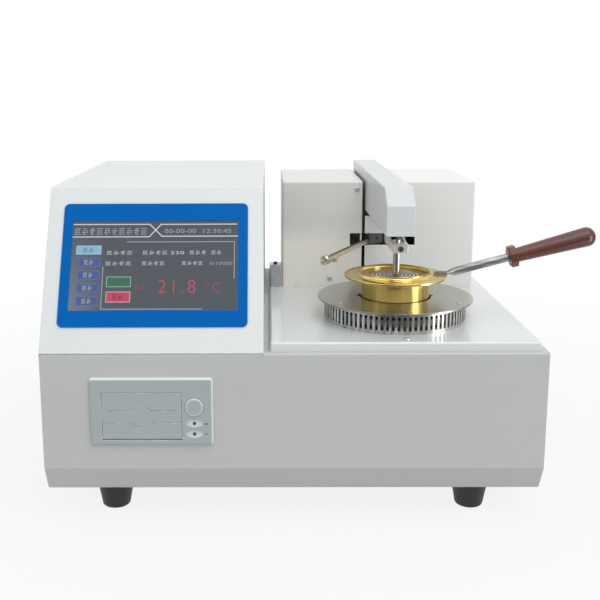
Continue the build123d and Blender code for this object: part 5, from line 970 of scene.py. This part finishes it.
def light_paths(tree):
    """One for camera, glossy and transmission rays, nought for light that falls on the object."""
    path = add(tree, "LightPath").outputs
    seen = add(tree, "Math", {0: path["Is Camera Ray"], 1: path["Is Glossy Ray"]}, operation="MAXIMUM")
    through = {0: seen.outputs[0], 1: path["Is Transmission Ray"]}
    return add(tree, "Math", through, operation="MAXIMUM").outputs[0]


world = bpy.data.worlds.new("studio")
scene.world = world
world.use_nodes = True
sky = world.node_tree
sky.nodes.clear()
ambient = add(sky, "Background", {"Color": (0.98, 0.99, 1.0, 1.0), "Strength": 0.66})
white = add(sky, "Background", {"Color": (1.0, 1.0, 1.0, 1.0), "Strength": 1.0})
either = add(sky, "MixShader", {0: light_paths(sky), 1: ambient.outputs[0], 2: white.outputs[0]})
sky.links.new(either.outputs[0], sky.nodes.new("ShaderNodeOutputWorld").inputs["Surface"])


floor_material = bpy.data.materials.new("pale floor")
floor_material.use_nodes = True
ground = floor_material.node_tree
ground.nodes.clear()
matt = add(ground, "BsdfDiffuse", {"Color": (0.66, 0.66, 0.66, 1.0)})
glow = add(ground, "Emission", {"Color": (1.0, 1.0, 1.0, 1.0), "Strength": 1.0})
spot = add(ground, "TexCoord")
away = add(ground, "VectorMath", {0: spot.outputs["Object"]}, operation="LENGTH")
fade = ramp(ground, away.outputs["Value"], 0.3, 0.9, 0.86, 1.0)
share = add(ground, "Math", {0: light_paths(ground), 1: fade}, operation="MULTIPLY")
surface = add(ground, "MixShader", {0: share.outputs[0], 1: matt.outputs[0], 2: glow.outputs[0]})
ground.links.new(surface.outputs[0], ground.nodes.new("ShaderNodeOutputMaterial").inputs["Surface"])
FLOOR_HALF, FLOOR_Z = 4.0, -0.0004
corners = [(x * FLOOR_HALF, y * FLOOR_HALF, FLOOR_Z) for x, y in ((-1, -1), (1, -1), (1, 1), (-1, 1))]
floor_mesh = bpy.data.meshes.new("floor")
floor_mesh.from_pydata(corners, [], [(0, 1, 2, 3)])
new_piece("floor", floor_mesh, floor_material)


def soft_box(name, place, aim, size, power, gleams=True):
    """Square area lamp at a place, turned to face a point; gleams says whether glossy rays see it."""
    lamp = bpy.data.lights.new(name, "AREA")
    lamp.shape, lamp.size, lamp.energy = "SQUARE", size, power
    holder = bpy.data.objects.new(name, lamp)
    holder.visible_glossy = gleams
    scene.collection.objects.link(holder)
    back = np.array(place, float) - np.array(aim, float)
    back /= np.linalg.norm(back)
    right = np.cross((0.0, 0.0, 1.0), back)
    right /= np.linalg.norm(right)
    up = np.cross(back, right)
    turn = np.eye(4)
    turn[:3, 0], turn[:3, 1], turn[:3, 2], turn[:3, 3] = right, up, back, place
    holder.matrix_world = Matrix(turn.tolist())


soft_box("key", (0.7, -1.1, 2.1), (0.0, 0.0, 0.15), 1.6, 18.0)
soft_box("top", (0.1, 0.4, 2.2), (0.05, 0.0, 0.2), 1.8, 7.0)
soft_box("fill", (-0.4, -1.8, 0.7), (0.0, 0.0, 0.15), 1.4, 5.5, False)

CARD_AWAY, CARD_STRIPS = 0.42, 12


def reflector(name, first_deg, last_deg, low, high, grey):
    """Curved card round the cup, from one bearing to another seen from the front: C + R (sin b, -cos b).

    Only glossy rays see it. Its grey is its own light, so that it looks the same in every mirror.
    """
    bearing = np.radians(np.linspace(first_deg, last_deg, CARD_STRIPS + 1))
    x, y = CUP_X + CARD_AWAY * np.sin(bearing), CUP_Y - CARD_AWAY * np.cos(bearing)
    rows = [np.stack([x, y, np.full_like(x, z)], axis=1) for z in (low, high)]
    number = np.arange(CARD_STRIPS)
    above = number + CARD_STRIPS + 1
    faces = np.stack([number, number + 1, above + 1, above], axis=1)
    mesh = bpy.data.meshes.new(name)
    mesh.from_pydata(np.concatenate(rows).tolist(), [], faces.tolist())
    constants = {"Roughness": 1.0, "Specular_IOR_Level": 0.0, "Emission_Strength": 1.0}
    material, tree, shader = new_material(name, **constants)
    shader.inputs["Base Color"].default_value = (0.0, 0.0, 0.0, 1.0)
    shader.inputs["Emission Color"].default_value = (grey, grey, grey, 1.0)
    card = new_piece(name, mesh, material)
    card.visible_camera = card.visible_diffuse = card.visible_shadow = card.visible_transmission = False


reflector("card_left", -64, -30, 0.0, 0.30, 0.34)
reflector("card_middle", -30, 14, 0.0, 0.30, 0.10)
reflector("card_right", 14, 46, 0.0, 0.30, 0.30)
reflector("card_bright", 52, 72, 0.0, 0.36, 5.0)
reflector("card_side", 89, 130, 0.0, 0.30, 0.45)

EYE, LENS_MM, LENS_SHIFT = (-0.0227, -0.9621, 0.3962), 54.02, (0.0633, -0.0717)
YAW, PITCH, ROLL = math.radians(0.40), math.radians(10.81), math.radians(-0.23)
level = np.array([math.cos(YAW), math.sin(YAW), 0.0])
upright = np.array([-math.sin(YAW) * math.sin(PITCH), math.cos(YAW) * math.sin(PITCH), math.cos(PITCH)])
ahead = np.array([-math.sin(YAW) * math.cos(PITCH), math.cos(YAW) * math.cos(PITCH), -math.sin(PITCH)])
look = np.eye(4)
look[:3, 0] = math.cos(ROLL) * level + math.sin(ROLL) * upright
look[:3, 1] = -math.sin(ROLL) * level + math.cos(ROLL) * upright
look[:3, 2] = -ahead
look[:3, 3] = EYE
camera = bpy.data.cameras.new("camera")
camera.lens, camera.sensor_width = LENS_MM, 36.0
camera.shift_x, camera.shift_y = LENS_SHIFT
camera_holder = bpy.data.objects.new("camera", camera)
scene.collection.objects.link(camera_holder)
camera_holder.matrix_world = Matrix(look.tolist())
scene.camera = camera_holder
